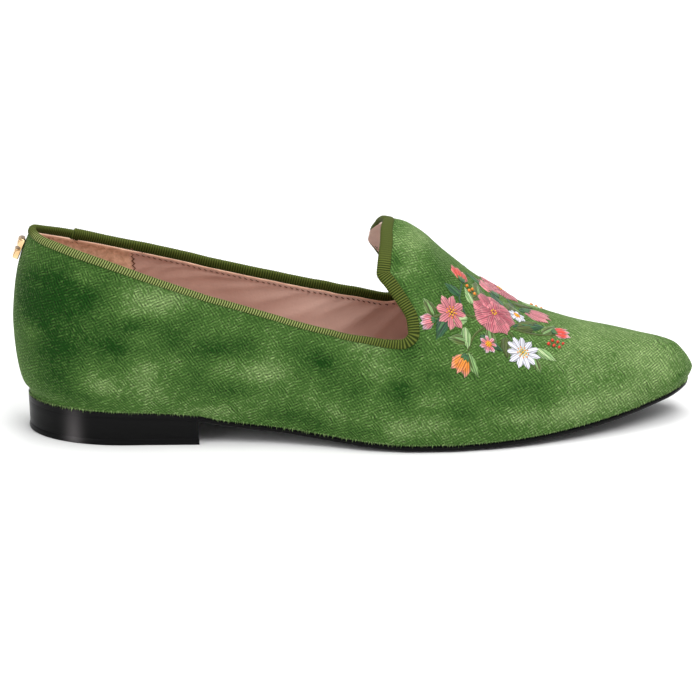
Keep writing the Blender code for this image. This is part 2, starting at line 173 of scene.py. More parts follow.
def columns(rows):
    """A curve for each column after the first."""
    places = [row[0] for row in rows]
    return [curve(places, [row[k] for row in rows]) for k in range(1, len(rows[0]))]


AXIS, HALF, BACK, INSTEP, RIDGE, BELLY, SQUARE = columns(LAST_ROWS)
HEEL_SHARE, SPRING_SHARE = columns(TREAD_ROWS)
(BACK_CURVE,) = columns(BACK_ROWS)
(TOE_CURVE,) = columns(TOE_ROWS)


def rounding(at):
    """0 at both ends of the outline and 1 between them."""
    heel = np.sqrt(1 - (1 - np.clip(at / HEEL_ROUND, 0, 1)) ** 2)
    toe = np.sqrt(1 - (1 - np.clip((1 - at) / TOE_ROUND, 0, 1)) ** 2)
    return heel * toe


def tread_height(at, share):
    """Height of the sole's underside; share runs from -1 at the outer edge to 1 at the inner."""
    beside = np.clip(np.abs(share) - FLAT_TREAD, 0, None) / (1 - FLAT_TREAD)
    middle = HEEL_HEIGHT * HEEL_SHARE(at) + TOE_SPRING * SPRING_SHARE(at)
    return middle + EDGE_LIFT * (1 - HEEL_SHARE(at)) * rounding(at) * beside**2


print("the toe tip stands", round(float(tread_height(1.0, 0.0)) / MM, 1), "mm above the floor")

# %% [markdown]
# One function gives every point of the last. `at` runs from the heel (0) to the toe (1), and
# `across` from the outer edge of the sole (-1) over the crest (0) to the inner edge (1).
# `outwards` is the way out of the surface there, and `walk` goes a real distance along it.

# %% The surface of the last
def last(at, across):
    """Points of the last, as an array with x, y, z in its final axis."""
    at, across = np.broadcast_arrays(np.asarray(at, float), np.asarray(across, float))
    beyond = (at < 0) | (at > 1)
    across = np.where(beyond, -across, across)
    at = np.where(at < 0, -at, np.where(at > 1, 2 - at, at))
    angle = np.clip(1 - np.abs(across), 0, 1) * math.pi / 2
    rise = np.sin(angle) ** (2 / SQUARE(at))
    run = np.clip(np.cos(angle), 0, None)
    crest = BACK_HEIGHT * BACK(at) + INSTEP_HEIGHT * INSTEP(at)
    back_x = BACK_BULGE * BACK_CURVE(rise)
    toe_x = BACK_BULGE + LAST_LENGTH + TOE_SLOPE * (TOE_CURVE(0.0) - TOE_CURVE(rise))
    bulge = 1 + BELLY(at) * rise / BELLY_AT * np.exp(1 - rise / BELLY_AT)
    half = BALL_WIDTH * HALF(at) * rounding(at)
    middle = BALL_WIDTH * (AXIS(at) * (1 - rise) + RIDGE(at) * rise)
    foot_z = tread_height(at, 1.0) + SOLE_THICKNESS + SEAM_GAP
    x = back_x + (toe_x - back_x) * at - CENTRE_X
    y = middle + np.sign(across) * half * run * bulge - CENTRE_Y
    return np.stack([x, y, foot_z + crest * rise], axis=-1)


def unit(v):
    return v / np.maximum(np.linalg.norm(v, axis=-1, keepdims=True), 1e-12)


def slopes_of(at, across, step=1e-3):
    """How the surface runs with at and with across."""
    along = (last(at + step, across) - last(at - step, across)) / (2 * step)
    over = (last(at, across + step) - last(at, across - step)) / (2 * step)
    return along, over


def outwards(at, across):
    return unit(np.cross(*slopes_of(at, across)))


def walk(at, across, way, far, steps=4):
    """Where one comes to from (at, across) by going far along the surface in the direction way."""
    at, across = np.array(at, float), np.array(across, float)
    for _ in range(steps):
        along, over = slopes_of(at, across)
        move = np.asarray(way) * np.asarray(far)[..., None] / steps
        aa, bb = (along**2).sum(-1), (over**2).sum(-1)
        ab = (along * over).sum(-1)
        a, b = (along * move).sum(-1), (over * move).sum(-1)
        scale = np.maximum(aa * bb - ab * ab, 1e-16)
        at = at + (a * bb - b * ab) / scale
        across = across + (b * aa - a * ab) / scale
    return at, across


tip, heel = last(1.0, 0.5), last(0.0, -0.5)
print("the last is", round((tip[0] - heel[0]) / MM, 1), "mm long at half height")

# %% [markdown]
# ## The edge of the opening
# The velvet is cut in ribs, as a tailor thinks of it: each rib starts at the sole and ends at
# the edge of the opening, or on the crest of the vamp in front of it. A table says where the ribs
# of the outer and of the inner side end and how wide the ribbon shows there.

# %% Tables of the edge
OUTER, INNER = -1, 1
EDGE_ROWS = (  # foot, band, then at and turn on the outer and on the inner side
    (0.000, 0.56, 0.000, 0.552, 0.000, 0.552),
    (0.020, 0.56, 0.020, 0.532, 0.020, 0.520),
    (0.040, 0.56, 0.040, 0.518, 0.040, 0.497),
    (0.070, 0.55, 0.070, 0.496, 0.070, 0.469),
    (0.100, 0.53, 0.100, 0.474, 0.100, 0.445),
    (0.130, 0.50, 0.130, 0.450, 0.130, 0.423),
    (0.160, 0.47, 0.160, 0.426, 0.160, 0.405),
    (0.190, 0.44, 0.190, 0.403, 0.190, 0.390),
    (0.220, 0.41, 0.220, 0.382, 0.220, 0.375),
    (0.260, 0.38, 0.260, 0.358, 0.260, 0.359),
    (0.300, 0.36, 0.300, 0.345, 0.300, 0.353),
    (0.340, 0.34, 0.340, 0.329, 0.340, 0.345),
    (0.380, 0.33, 0.380, 0.312, 0.380, 0.334),
    (0.410, 0.32, 0.410, 0.300, 0.410, 0.323),
    (0.440, 0.32, 0.440, 0.296, 0.440, 0.318),
    (0.470, 0.34, 0.470, 0.310, 0.470, 0.331),
    (0.500, 0.42, 0.497, 0.326, 0.497, 0.341),
    (0.530, 0.52, 0.530, 0.332, 0.530, 0.333),
    (0.550, 0.62, 0.552, 0.339, 0.551, 0.329),
    (0.565, 0.74, 0.566, 0.348, 0.567, 0.336),
    (0.590, 0.82, 0.575, 0.380, 0.574, 0.374),
    (0.620, 0.84, 0.573, 0.424, 0.568, 0.428),
    (0.660, 0.88, 0.558, 0.483, 0.548, 0.495),
    (0.690, 0.94, 0.540, 0.537, 0.531, 0.557),
    (0.710, 1.00, 0.524, 0.590, 0.519, 0.613),
    (0.735, 0.97, 0.525, 0.685, 0.519, 0.678),
    (0.758, 0.92, 0.529, 0.787, 0.526, 0.779),
    (0.774, 0.86, 0.534, 0.880, 0.534, 0.873),
    (0.785, 0.80, 0.541, 1.000, 0.541, 1.000),
)
BAND, OUTER_AT, OUTER_TURN, INNER_AT, INNER_TURN = columns(EDGE_ROWS)
EDGES = {OUTER: (OUTER_AT, OUTER_TURN), INNER: (INNER_AT, INNER_TURN)}
TAB_FOOT, TAB_AT = EDGE_ROWS[-1][0], EDGE_ROWS[-1][2]
BACK_TURN = EDGE_ROWS[0][3]
RIB_LEAN = 2


def rib_end(foot, side):
    """at and across where the rib from this foot ends."""
    foot = np.asarray(foot, float)
    on_crest = foot > TAB_FOOT
    share = (foot - TAB_FOOT) / (1 - TAB_FOOT)
    at = np.where(on_crest, TAB_AT + (1 - TAB_AT) * share, EDGES[side][0](foot))
    turn = np.where(on_crest, 1, EDGES[side][1](foot))
    return at, side * (1 - turn)


def rib(foot, up, side):
    """at and across, up of the way along a rib."""
    at, across = rib_end(foot, side)
    return foot + (at - foot) * up**RIB_LEAN, side + (across - side) * up


def feet(heel_count, middle_count, toe_count):
    """Feet of ribs from heel to toe, closer where the outline turns."""
    turn = math.pi / 2
    heel_feet = HEEL_ROUND * (1 - np.cos(turn * np.arange(heel_count) / heel_count))
    middle_feet = np.linspace(HEEL_ROUND, 1 - TOE_ROUND, middle_count, endpoint=False)
    toe_feet = 1 - TOE_ROUND * (1 - np.sin(turn * np.arange(toe_count + 1) / toe_count))
    return np.concatenate([heel_feet, middle_feet, toe_feet])


print("the tab's rib starts", round(TAB_FOOT * LAST_LENGTH / MM), "mm from the heel")

# %% [markdown]
# The ribbon and the stitches follow the edge once round. They need places at even distances, so
# the edge is walked in small steps first, and its length read off.

# %% Even steps round the edge
def edge_walk():
    """Feet, sides and lengths in fine steps round the opening, from the back by the outer side."""
    reach = np.linspace(0, TAB_FOOT, 1500)
    foot = np.concatenate([reach, reach[-2::-1]])
    side = np.concatenate([np.full(len(reach), OUTER), np.full(len(reach) - 1, INNER)])
    outer = last(*rib_end(reach, OUTER))
    inner = last(*rib_end(reach, INNER))
    points = np.concatenate([outer, inner[-2::-1]])
    gone = np.concatenate([[0], np.cumsum(np.linalg.norm(np.diff(points, axis=0), axis=1))])
    return foot, side, gone


EDGE_FOOT, EDGE_SIDE, EDGE_GONE = edge_walk()
EDGE_LENGTH = EDGE_GONE[-1]
signed = np.where(EDGE_SIDE == OUTER, EDGE_FOOT, 2 * TAB_FOOT - EDGE_FOOT)


def edge_at(gone):
    """at, across and the share of the full ribbon width at lengths along the edge."""
    gone = np.mod(gone, EDGE_LENGTH)
    place = np.interp(gone, EDGE_GONE, signed)
    outer_side = place <= TAB_FOOT
    foot = np.where(outer_side, place, 2 * TAB_FOOT - place)
    ends = {side: rib_end(foot, side) for side in (OUTER, INNER)}
    at = np.where(outer_side, ends[OUTER][0], ends[INNER][0])
    across = np.where(outer_side, ends[OUTER][1], ends[INNER][1])
    return at, across, BAND(foot)


def edge_frame(gone, step=0.4 * MM):
    """Where the edge is, and its directions along, out and into the velvet."""
    at, across, band = edge_at(gone)
    before = last(*edge_at(gone - step)[:2])
    after = last(*edge_at(gone + step)[:2])
    along = unit(after - before)
    out = outwards(at, across)
    into = unit(np.cross(along, out))
    return at, across, band, along, out, into


print("the edge of the opening is", round(EDGE_LENGTH / MM), "mm round")

# %% [markdown]
# ## Helpers for making pieces
# Cloth and leather start as a flat grid, the primitive that Blender calls Grid, whose points are
# then laid on the last in code. Sculpting them by hand would not reach a tenth of a millimetre,
# and a shrinkwrap would lose the edge, so the grid's own rows and columns carry the shape.

# %% Lay a grid on the last
def make_active(piece):
    bpy.ops.object.select_all(action="DESELECT")
    bpy.context.view_layer.objects.active = piece
    piece.select_set(True)


def in_edit_mode(piece, tool, **settings):
    """Use a mesh tool on the whole piece."""
    make_active(piece)
    bpy.ops.object.mode_set(mode="EDIT")
    bpy.ops.mesh.select_all(action="SELECT")
    tool(**settings)
    bpy.ops.object.mode_set(mode="OBJECT")


def weld(piece):
    """Join the two ends of a piece that goes round."""
    in_edit_mode(piece, bpy.ops.mesh.remove_doubles, threshold=0.01 * MM)


def face_out(piece):
    """Turn the faces of a closed piece outwards."""
    in_edit_mode(piece, bpy.ops.mesh.normals_make_consistent, inside=False)


def laid_grid(name, points, uv):
    """A grid whose rows and columns take these points, with a UV map in metres."""
    rows, cols = points.shape[:2]
    bpy.ops.object.select_all(action="DESELECT")
    bpy.ops.mesh.primitive_grid_add(x_subdivisions=cols - 1, y_subdivisions=rows - 1, size=1)
    piece = bpy.context.object
    piece.name = piece.data.name = name
    mesh = piece.data
    mesh.vertices.foreach_set("co", np.ascontiguousarray(points, np.float32).ravel())
    corners = np.zeros(len(mesh.loops), np.int32)
    mesh.loops.foreach_get("vertex_index", corners)
    flat_uv = np.ascontiguousarray(uv.reshape(-1, 2)[corners], np.float32)
    mesh.uv_layers[0].name = "along_surface"
    mesh.uv_layers[0].data.foreach_set("uv", flat_uv.ravel())
    mesh.update()
    bpy.ops.object.shade_smooth()
    return piece


def apply(piece, kind, **settings):
    """Add a modifier, set it and apply it."""
    make_active(piece)
    modifier = piece.modifiers.new(kind.lower(), kind)
    for name, value in settings.items():
        setattr(modifier, name, value)
    bpy.ops.object.modifier_apply(modifier=modifier.name)


def from_faces(name, points, faces, uv=None):
    """A piece from points and faces, for shapes that no primitive starts."""
    mesh = bpy.data.meshes.new(name)
    mesh.from_pydata(np.asarray(points).tolist(), [], [list(map(int, f)) for f in faces])
    if uv is not None:
        layer = mesh.uv_layers.new(name="along_surface")
        corners = np.zeros(len(mesh.loops), np.int32)
        mesh.loops.foreach_get("vertex_index", corners)
        layer.data.foreach_set("uv", np.asarray(uv, np.float32)[corners].ravel())
    mesh.shade_smooth()
    piece = bpy.data.objects.new(name, mesh)
    bpy.context.scene.collection.objects.link(piece)
    return piece


def mark(piece, name, values):
    """Give every point of a piece a number that its material can read."""
    layer = piece.data.attributes.new(name, "FLOAT", "POINT")
    layer.data.foreach_set("value", np.asarray(values, np.float32).ravel())


def points_of(piece):
    found = np.zeros(len(piece.data.vertices) * 3, np.float32)
    piece.data.vertices.foreach_get("co", found)
    return found.reshape(-1, 3).astype(float)


def report(piece):
    piece.data.calc_loop_triangles()
    print(piece.name, "has", len(piece.data.loop_triangles), "triangles")

# %% [markdown]
# Cloth has its own length and width, which a picture of the threads must follow. Distances are
# summed once over a net of the last: along the foot of the upper from its middle, and up from a
# level line 30 mm above the floor on the outer side, over the crest and down the inner side.

# %% How far things lie along the cloth
NET_AT = np.linspace(0, 1, 241)
NET_ACROSS = np.linspace(-1, 1, 161)
net = last(NET_AT[:, None], NET_ACROSS[None, :])
steps_along = np.linalg.norm(np.diff(net, axis=0), axis=2)
steps_over = np.linalg.norm(np.diff(net, axis=1), axis=2)
net_along = np.concatenate([np.zeros((1, 161)), np.cumsum(steps_along, axis=0)])
net_along -= net_along[120]
foot_along = (net_along[:, 0] + net_along[:, -1]) / 2
net_over = np.concatenate([np.zeros((241, 1)), np.cumsum(steps_over, axis=1)], axis=1)
net_over -= net_over[:, 80:81]
LEVEL_LINE = 30 * MM
level_down = np.array([
    np.interp(LEVEL_LINE, net[i, :81, 2], -net_over[i, :81]) for i in range(len(NET_AT))
])


def cloth_uv(at, across):
    """Distances along and across the cloth, in metres."""
    at, across = np.clip(at, 0, 1), np.clip(across, -1, 1)
    i = np.clip((at * 240).astype(int), 0, 239)
    j = np.clip(((across + 1) * 80).astype(int), 0, 159)
    s, t = at * 240 - i, (across + 1) * 80 - j
    over = (
        net_over[i, j] * (1 - s) * (1 - t) + net_over[i + 1, j] * s * (1 - t)
        + net_over[i, j + 1] * (1 - s) * t + net_over[i + 1, j + 1] * s * t
    )
    forward = np.clip((at - 0.5) / 0.25, 0, 1)  # in front, measured straight down onto the foot
    below = at + forward * (last(at, across)[..., 0] - last(at, 1.0)[..., 0]) / LAST_LENGTH
    along = np.interp(below, NET_AT, foot_along)
    up = np.interp(at, NET_AT, level_down) + over
    return np.stack([along, up], axis=-1)

# %% [markdown]
# ## The velvet
# The whole upper is one piece of velvet with a seam up the back. It is laid over the last with
# its pile outwards, drawn down and under at the sole. A few soft hollows keep it from looking
# like plastic: below the ribbon, in the waist and where the vamp will bend.

# %% Soft hollows and swells
HOLLOWS = (  # at, turn, side, length, width, depth, in the shoe's own sizes and mm
    (0.30, 0.16, OUTER, 30, 8, 0.35),
    (0.46, 0.14, OUTER, 26, 7, 0.40),
    (0.60, 0.22, OUTER, 16, 9, 0.35),
    (0.66, 0.36, OUTER, 20, 6, -0.30),
    (0.12, 0.30, OUTER, 18, 14, -0.25),
    (0.20, 0.12, OUTER, 22, 6, 0.30),
    (0.34, 0.18, INNER, 30, 8, 0.40),
    (0.50, 0.16, INNER, 24, 8, 0.35),
    (0.62, 0.24, INNER, 16, 9, 0.35),
    (0.70, 0.40, INNER, 18, 6, -0.25),
    (0.14, 0.28, INNER, 18, 12, -0.25),
)


def hollow_depth(at, across):
    """How deep the velvet lies below the last's surface."""
    here = last(at, across)
    depth = np.zeros(here.shape[:-1])
    for a, turn, side, length, width, deep in HOLLOWS:
        middle = last(a, side * (1 - turn))
        away = here - middle
        near = np.exp(-((away[..., 0] / (length * MM)) ** 2) - (away[..., 2] / (width * MM)) ** 2)
        near = near * (np.sign(across) == side)
        depth += deep * MM * near
    return depth


def around(foot_list):
    """Feet and sides once round the shoe, from the toe by the outer side and back."""
    foot = np.concatenate([foot_list[::-1], foot_list[1:]])
    side = np.concatenate([np.full(len(foot_list), OUTER), np.full(len(foot_list) - 1, INNER)])
    return foot, side


def rib_grid(foot, side, ups):
    """at and across on a grid of ribs, a row for each up."""
    parts = {s: rib(foot[None, :], ups, s) for s in (OUTER, INNER)}
    outer_side = (side == OUTER)[None, :]
    at = np.where(outer_side, parts[OUTER][0], parts[INNER][0])
    across = np.where(outer_side, parts[OUTER][1], parts[INNER][1])
    return at, across


foot, side = around(feet(22, 190, 14))
ups = np.concatenate([np.linspace(0, 0.9, 60, endpoint=False), np.linspace(0.9, 1, 12)])
at, across = rib_grid(foot, side, ups[:, None])
skin, out = last(at, across), outwards(at, across)
back_seam = np.exp(-((skin[..., 1] + CENTRE_Y) / (0.5 * MM)) ** 2) * (at < 0.02)
over_foot = (skin[..., 2] - skin[:1, :, 2]) / MM
drawn_in = 1.1 * MM * np.exp(-((at / 0.07) ** 2) - ((over_foot - 1.8) / 2.2) ** 2)
under_tab = 0.5 * MM * np.exp(-(((at - 0.625) / 0.025) ** 2) - (across / 0.3) ** 2)
under_spray = 0.7 * MM * np.exp(-(((at - 0.745) / 0.035) ** 2) - (across / 0.4) ** 2)
face = skin - out * (hollow_depth(at, across) * np.sin(np.pi * np.clip(ups, 0, 1))[:, None]
                     + 0.35 * MM * back_seam + drawn_in + under_tab + under_spray)[..., None]
tuck = last(at[0], across[0]) - outwards(at[0], across[0]) * 1.0 * MM
tuck[:, 2] = np.minimum(tuck[:, 2], face[0][:, 2]) - 0.22 * MM
lip = face[0] - np.array([0, 0, 0.16 * MM])
face = np.concatenate([tuck[None], lip[None], face])
uv = cloth_uv(at, across)
uv = np.concatenate([uv[:1], uv[:1], uv])
velvet = laid_grid("velvet_upper", face, uv)
weld(velvet)
report(velvet)

# %% [markdown]
# Velvet is lighter where the pile lies one way and darker where it lies the other. Each patch
# of the table is a stroke over the pile, and some are painted light and shade: the darker back
# quarter, the lighter top of the toe and the dark line beside the ribbon. A row gives how far
# from the heel, how high, how long and wide, and whether the patch is light (plus) or dark (minus).

# %% Strokes in the pile, with painted light and shade
PILE_AND_SHADE_STROKES = (  # x and z in mm from the back and the floor, length, width, strength
    (13, 61, 13, 7, -0.9), (25, 58, 11, 6, -0.7), (28, 67, 4, 3, 0.5), (7, 43, 3, 4, 0.6),
    (10, 51, 8, 5, -0.5), (53, 58, 14, 7, 0.9), (34, 54, 6, 3, 0.4), (50, 49, 10, 3, -0.6),
    (49, 43, 6, 3, 0.4), (39, 41, 9, 4, -0.6), (17, 38, 9, 7, -0.5), (62, 43, 5, 5, -0.6),
    (62, 36, 3, 5, 0.3), (28, 33, 6, 4, 0.3), (34, 25, 9, 5, 0.75), (50, 30, 7, 6, 0.65),
    (18, 26, 7, 6, -0.5), (26, 20, 7, 4, -0.4), (56, 21, 8, 4, 0.35), (68, 52, 6, 4, -0.3),
    (77, 39, 8, 5, -0.85), (89, 41, 6, 4, -0.5), (97, 30, 10, 5, 0.7), (81, 34, 4, 4, 0.35),
    (83, 23, 10, 4, -0.5), (71, 28, 5, 5, -0.3), (77, 14, 13, 3, 0.5), (109, 39, 6, 4, -0.35),
    (118, 35, 6, 5, -0.9), (122, 26, 4, 6, -0.3), (135, 42, 11, 4, 0.5), (139, 32, 6, 4, 0.4),
    (149, 24, 5, 5, -0.9), (132, 25, 6, 5, -0.45), (107, 13, 10, 3, -0.6), (117, 8, 6, 3, -0.5),
    (124, 16, 4, 4, 0.45), (134, 8, 8, 2.5, -0.5), (148, 10, 6, 4, 0.6), (114, 20, 4, 3, 0.3),
    (150, 57, 3, 7, -0.6), (153, 40, 4, 5, -0.6), (163, 30, 6, 4, -0.5), (161, 21, 8, 3, 0.35),
    (160, 11, 10, 4, 0.5), (154, 75, 7, 6, 0.5), (150, 67, 4, 3, 0.4), (149, 70, 2.5, 3, -0.6),
    (166, 65, 6, 5, -0.25), (170, 56, 5, 5, -0.35), (162, 76, 7, 3, 0.5), (180, 29, 7, 5, -0.2),
    (197, 23, 7, 4, -0.45), (172, 16, 6, 4, -0.5), (187, 20, 6, 3, -0.25), (206, 19, 5, 6, -0.30),
    (196, 12, 10, 3, 0.45), (196, 35, 7, 4, 0.1), (208, 30, 6, 3, 0.2), (224, 33, 14, 4, 0.40),
    (245, 28, 10, 4, 0.40), (224, 25, 10, 4, 0.3), (236, 15, 13, 5, 0.7), (216, 12, 12, 5, 0.7),
    (254, 21, 8, 5, 0.5), (261, 18, 3, 4, -0.3), (20, 50, 30, 26, -0.60), (250, 24, 12, 8, 0.25),
    (230, 40, 34, 16, 0.35),
)
INNER_SHIFT = 37  # on the inner side the table is read shifted by this, less towards the toe
TABLE_LENGTH = 265
CREST_FROM, CREST_TO = 2, 16  # where, in mm over the middle line, one side fades into the other


def pile_and_shade(x, z):
    """How light the pile lies at x and z in mm, with painted light and shade, from -1 to 1."""
    light = np.zeros(len(x))
    for px, pz, length, width, strength in PILE_AND_SHADE_STROKES:
        light += strength * np.exp(-(((x - px) / length) ** 2) - ((z - pz) / width) ** 2)
    return np.clip(light, -1, 1)


def mark_pile_and_shade(piece):
    """Write the strokes into the attribute that the velvet reads."""
    points = points_of(piece)
    x, z = (points[:, 0] + CENTRE_X) / MM, points[:, 2] / MM
    inner_side = ease((points[:, 1] + CENTRE_Y) / MM, CREST_FROM, CREST_TO)
    shifted = 0.8 * pile_and_shade(x + INNER_SHIFT * (1 - x / TABLE_LENGTH), z)
    mark(piece, "pile_and_shade", inner_side * shifted + (1 - inner_side) * pile_and_shade(x, z))


mark_pile_and_shade(velvet)
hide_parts("upper")
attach(velvet, "root")

# %% [markdown]
# ## Materials
# A material is a small machine of nodes. Effects that several materials share are built once
# as a group: a mottle of soft blotches, and a grain of fine leather or cloth.

# %% Node helpers
def node(tree, kind, **settings):
    made = tree.nodes.new(kind)
    for name, value in settings.items():
        if name in made.inputs and not hasattr(made, name):
            made.inputs[name].default_value = value
        else:
            setattr(made, name, value)
    return made


def math_node(tree, operation, a, b=None, c=None):
    """A Math node whose inputs are numbers or the outputs of other nodes."""
    made = tree.nodes.new("ShaderNodeMath")
    made.operation = operation
    for socket, value in zip(made.inputs, (a, b, c)):
        if value is None:
            continue
        if isinstance(value, bpy.types.NodeSocket):
            tree.links.new(value, socket)
        else:
            socket.default_value = value
    return made.outputs[0]


def mix_colour(tree, factor, a, b, blend="MIX"):
    made = tree.nodes.new("ShaderNodeMix")
    made.data_type = "RGBA"
    made.blend_type = blend
    for socket, value in ((made.inputs[0], factor), (made.inputs[6], a), (made.inputs[7], b)):
        if isinstance(value, bpy.types.NodeSocket):
            tree.links.new(value, socket)
        elif isinstance(value, (int, float)):
            socket.default_value = value
        else:
            socket.default_value = (*value, 1)
    return made.outputs[2]


def place_of(tree):
    """Where a point lies on the piece, in metres."""
    return node(tree, "ShaderNodeTexCoord").outputs["Object"]


def marked(tree, name):
    """A number that mark() gave the points."""
    return node(tree, "ShaderNodeAttribute", attribute_name=name).outputs["Fac"]


def noise(tree, vector, scale, detail):
    made = node(tree, "ShaderNodeTexNoise")
    made.inputs["Scale"].default_value = scale
    made.inputs["Detail"].default_value = detail
    tree.links.new(vector, made.inputs["Vector"])
    return made


def shaded(tree, colour, shade):
    """A colour made lighter or darker by a number."""
    grey = node(tree, "ShaderNodeCombineColor")
    for k in range(3):
        tree.links.new(shade, grey.inputs[k])
    return mix_colour(tree, 1.0, colour, grey.outputs[0], "MULTIPLY")


def new_group(name, inputs, outputs):
    """An empty shader group: its tree, its entry and its exit."""
    tree = bpy.data.node_groups.new(name, "ShaderNodeTree")
    for label, kind, value in inputs:
        socket = tree.interface.new_socket(label, in_out="INPUT", socket_type=kind)
        if value is not None:
            socket.default_value = value
    for label, kind in outputs:
        tree.interface.new_socket(label, in_out="OUTPUT", socket_type=kind)
    return tree, tree.nodes.new("NodeGroupInput"), tree.nodes.new("NodeGroupOutput")


def use_group(tree, group, vector=None, **values):
    made = tree.nodes.new("ShaderNodeGroup")
    made.node_tree = group
    for name, value in values.items():
        made.inputs[name.replace("_", " ")].default_value = value
    if vector is not None:
        tree.links.new(vector, made.inputs["Vector"])
    return made


def new_material(name, **values):
    """A material with a Principled shader whose sockets take these values."""
    made = bpy.data.materials.new(name)
    made.use_nodes = True
    shader = made.node_tree.nodes["Principled BSDF"]
    for label, value in values.items():
        socket = shader.inputs[label.replace("_", " ")]
        socket.default_value = (*value, 1) if isinstance(value, tuple) else value
    return made, made.node_tree, shader


def scaled(tree, vector, factor):
    made = tree.nodes.new("ShaderNodeVectorMath")
    made.operation = "MULTIPLY"
    tree.links.new(vector, made.inputs[0])
    made.inputs[1].default_value = factor if isinstance(factor, tuple) else (factor,) * 3
    return made.outputs[0]


def bump(tree, shader, height, distance, strength=1.0):
    """A height in 0 to 1 becomes relief of this depth in metres."""
    made = node(tree, "ShaderNodeBump")
    made.inputs["Strength"].default_value = strength
    made.inputs["Distance"].default_value = distance
    tree.links.new(height, made.inputs["Height"])
    tree.links.new(made.outputs[0], shader.inputs["Normal"])
    return made

# %% Shared groups
MOTTLE, g_in, g_out = new_group(
    "soft_mottle",
    [("Vector", "NodeSocketVector", None), ("Patch size", "NodeSocketFloat", 0.012)],
    [("Mask", "NodeSocketFloat")],
)
inverse = math_node(MOTTLE, "DIVIDE", 1.0, g_in.outputs["Patch size"])
shift = node(MOTTLE, "ShaderNodeVectorMath", operation="SCALE")
MOTTLE.links.new(g_in.outputs["Vector"], shift.inputs[0])
MOTTLE.links.new(inverse, shift.inputs["Scale"])
cloud = node(MOTTLE, "ShaderNodeTexNoise")
cloud.inputs["Scale"].default_value = 1.0
cloud.inputs["Detail"].default_value = 5.0
cloud.inputs["Roughness"].default_value = 0.62
cloud.inputs["Distortion"].default_value = 0.5
MOTTLE.links.new(shift.outputs[0], cloud.inputs["Vector"])
spread = node(MOTTLE, "ShaderNodeMapRange")
spread.inputs["From Min"].default_value = 0.32
spread.inputs["From Max"].default_value = 0.68
MOTTLE.links.new(cloud.outputs[0], spread.inputs["Value"])
MOTTLE.links.new(spread.outputs[0], g_out.inputs["Mask"])

GRAIN, g_in, g_out = new_group(
    "leather_grain",
    [("Vector", "NodeSocketVector", None), ("Grain size", "NodeSocketFloat", 0.0006)],
    [("Height", "NodeSocketFloat")],
)
inverse = math_node(GRAIN, "DIVIDE", 1.0, g_in.outputs["Grain size"])
shift = node(GRAIN, "ShaderNodeVectorMath", operation="SCALE")
GRAIN.links.new(g_in.outputs["Vector"], shift.inputs[0])
GRAIN.links.new(inverse, shift.inputs["Scale"])
pebbles = node(GRAIN, "ShaderNodeTexVoronoi")
pebbles.inputs["Scale"].default_value = 1.0
GRAIN.links.new(shift.outputs[0], pebbles.inputs["Vector"])
hairs = node(GRAIN, "ShaderNodeTexNoise")
hairs.inputs["Scale"].default_value = 2.3
hairs.inputs["Detail"].default_value = 4.0
GRAIN.links.new(shift.outputs[0], hairs.inputs["Vector"])
both = math_node(GRAIN, "MULTIPLY_ADD", hairs.outputs[0], 0.6, pebbles.outputs["Distance"])
GRAIN.links.new(both, g_out.inputs["Height"])
print("shared groups:", MOTTLE.name, GRAIN.name)

# %% [markdown]
# Velvet is a field of tufts, nine in a centimetre, standing in slanting rows and columns. One
# wave runs over the rows and one over the columns; where both are high stands a tuft. Noise
# bends the waves and lets now the rows, now the columns come out, as in pile that was stroked.

# %% The tufts of the velvet
TUFT_PITCH = 1.12 * MM
BENT = 9.0  # how far, in radians, the noise bends the waves
ROWS_RISE, COLUMNS_FALL = math.radians(21), math.radians(56)
velvet_stuff, tree, shader = new_material(
    "crushed_velvet",
    Roughness=0.9,
    Specular_IOR_Level=0.08,
    Sheen_Weight=0.26,
    Sheen_Roughness=0.36,
    Sheen_Tint=(0.72, 0.90, 0.45),
)
uv_node = node(tree, "ShaderNodeUVMap", uv_map="along_surface")
position = place_of(tree)
blotches = use_group(tree, MOTTLE, position, Patch_size=0.013)
small_blotches = use_group(tree, MOTTLE, position, Patch_size=0.0035)
bent = noise(tree, position, 420, 3.0)
bends = node(tree, "ShaderNodeSeparateColor")
tree.links.new(bent.outputs["Color"], bends.inputs[0])
waves = []
for k, way in enumerate(((-math.sin(ROWS_RISE), math.cos(ROWS_RISE), 0),
                         (math.sin(COLUMNS_FALL), math.cos(COLUMNS_FALL), 0))):
    over_rows = node(tree, "ShaderNodeVectorMath", operation="DOT_PRODUCT")
    tree.links.new(uv_node.outputs[0], over_rows.inputs[0])
    over_rows.inputs[1].default_value = [w * 2 * math.pi / TUFT_PITCH for w in way]
    turns = math_node(tree, "MULTIPLY_ADD", bends.outputs[k], BENT, over_rows.outputs["Value"])
    waves.append(math_node(tree, "COSINE", turns))
rows_out = math_node(tree, "MULTIPLY_ADD", small_blotches.outputs[0], 0.60, -0.03)
columns_out = math_node(tree, "MULTIPLY_ADD", small_blotches.outputs[0], -0.60, 0.57)
field = math_node(tree, "MULTIPLY_ADD", waves[0], rows_out, math_node(
    tree, "MULTIPLY", waves[1], columns_out))
one_tuft = use_group(tree, MOTTLE, position, Patch_size=1.3 * MM)
uneven = math_node(tree, "MULTIPLY_ADD", one_tuft.outputs[0], 2.2, -0.15)
field = math_node(tree, "MULTIPLY", field, uneven)
bump(tree, shader, field, 0.25 * MM, 0.7)
print(velvet_stuff.name, "has", round(10 * MM / TUFT_PITCH), "tufts in a centimetre")
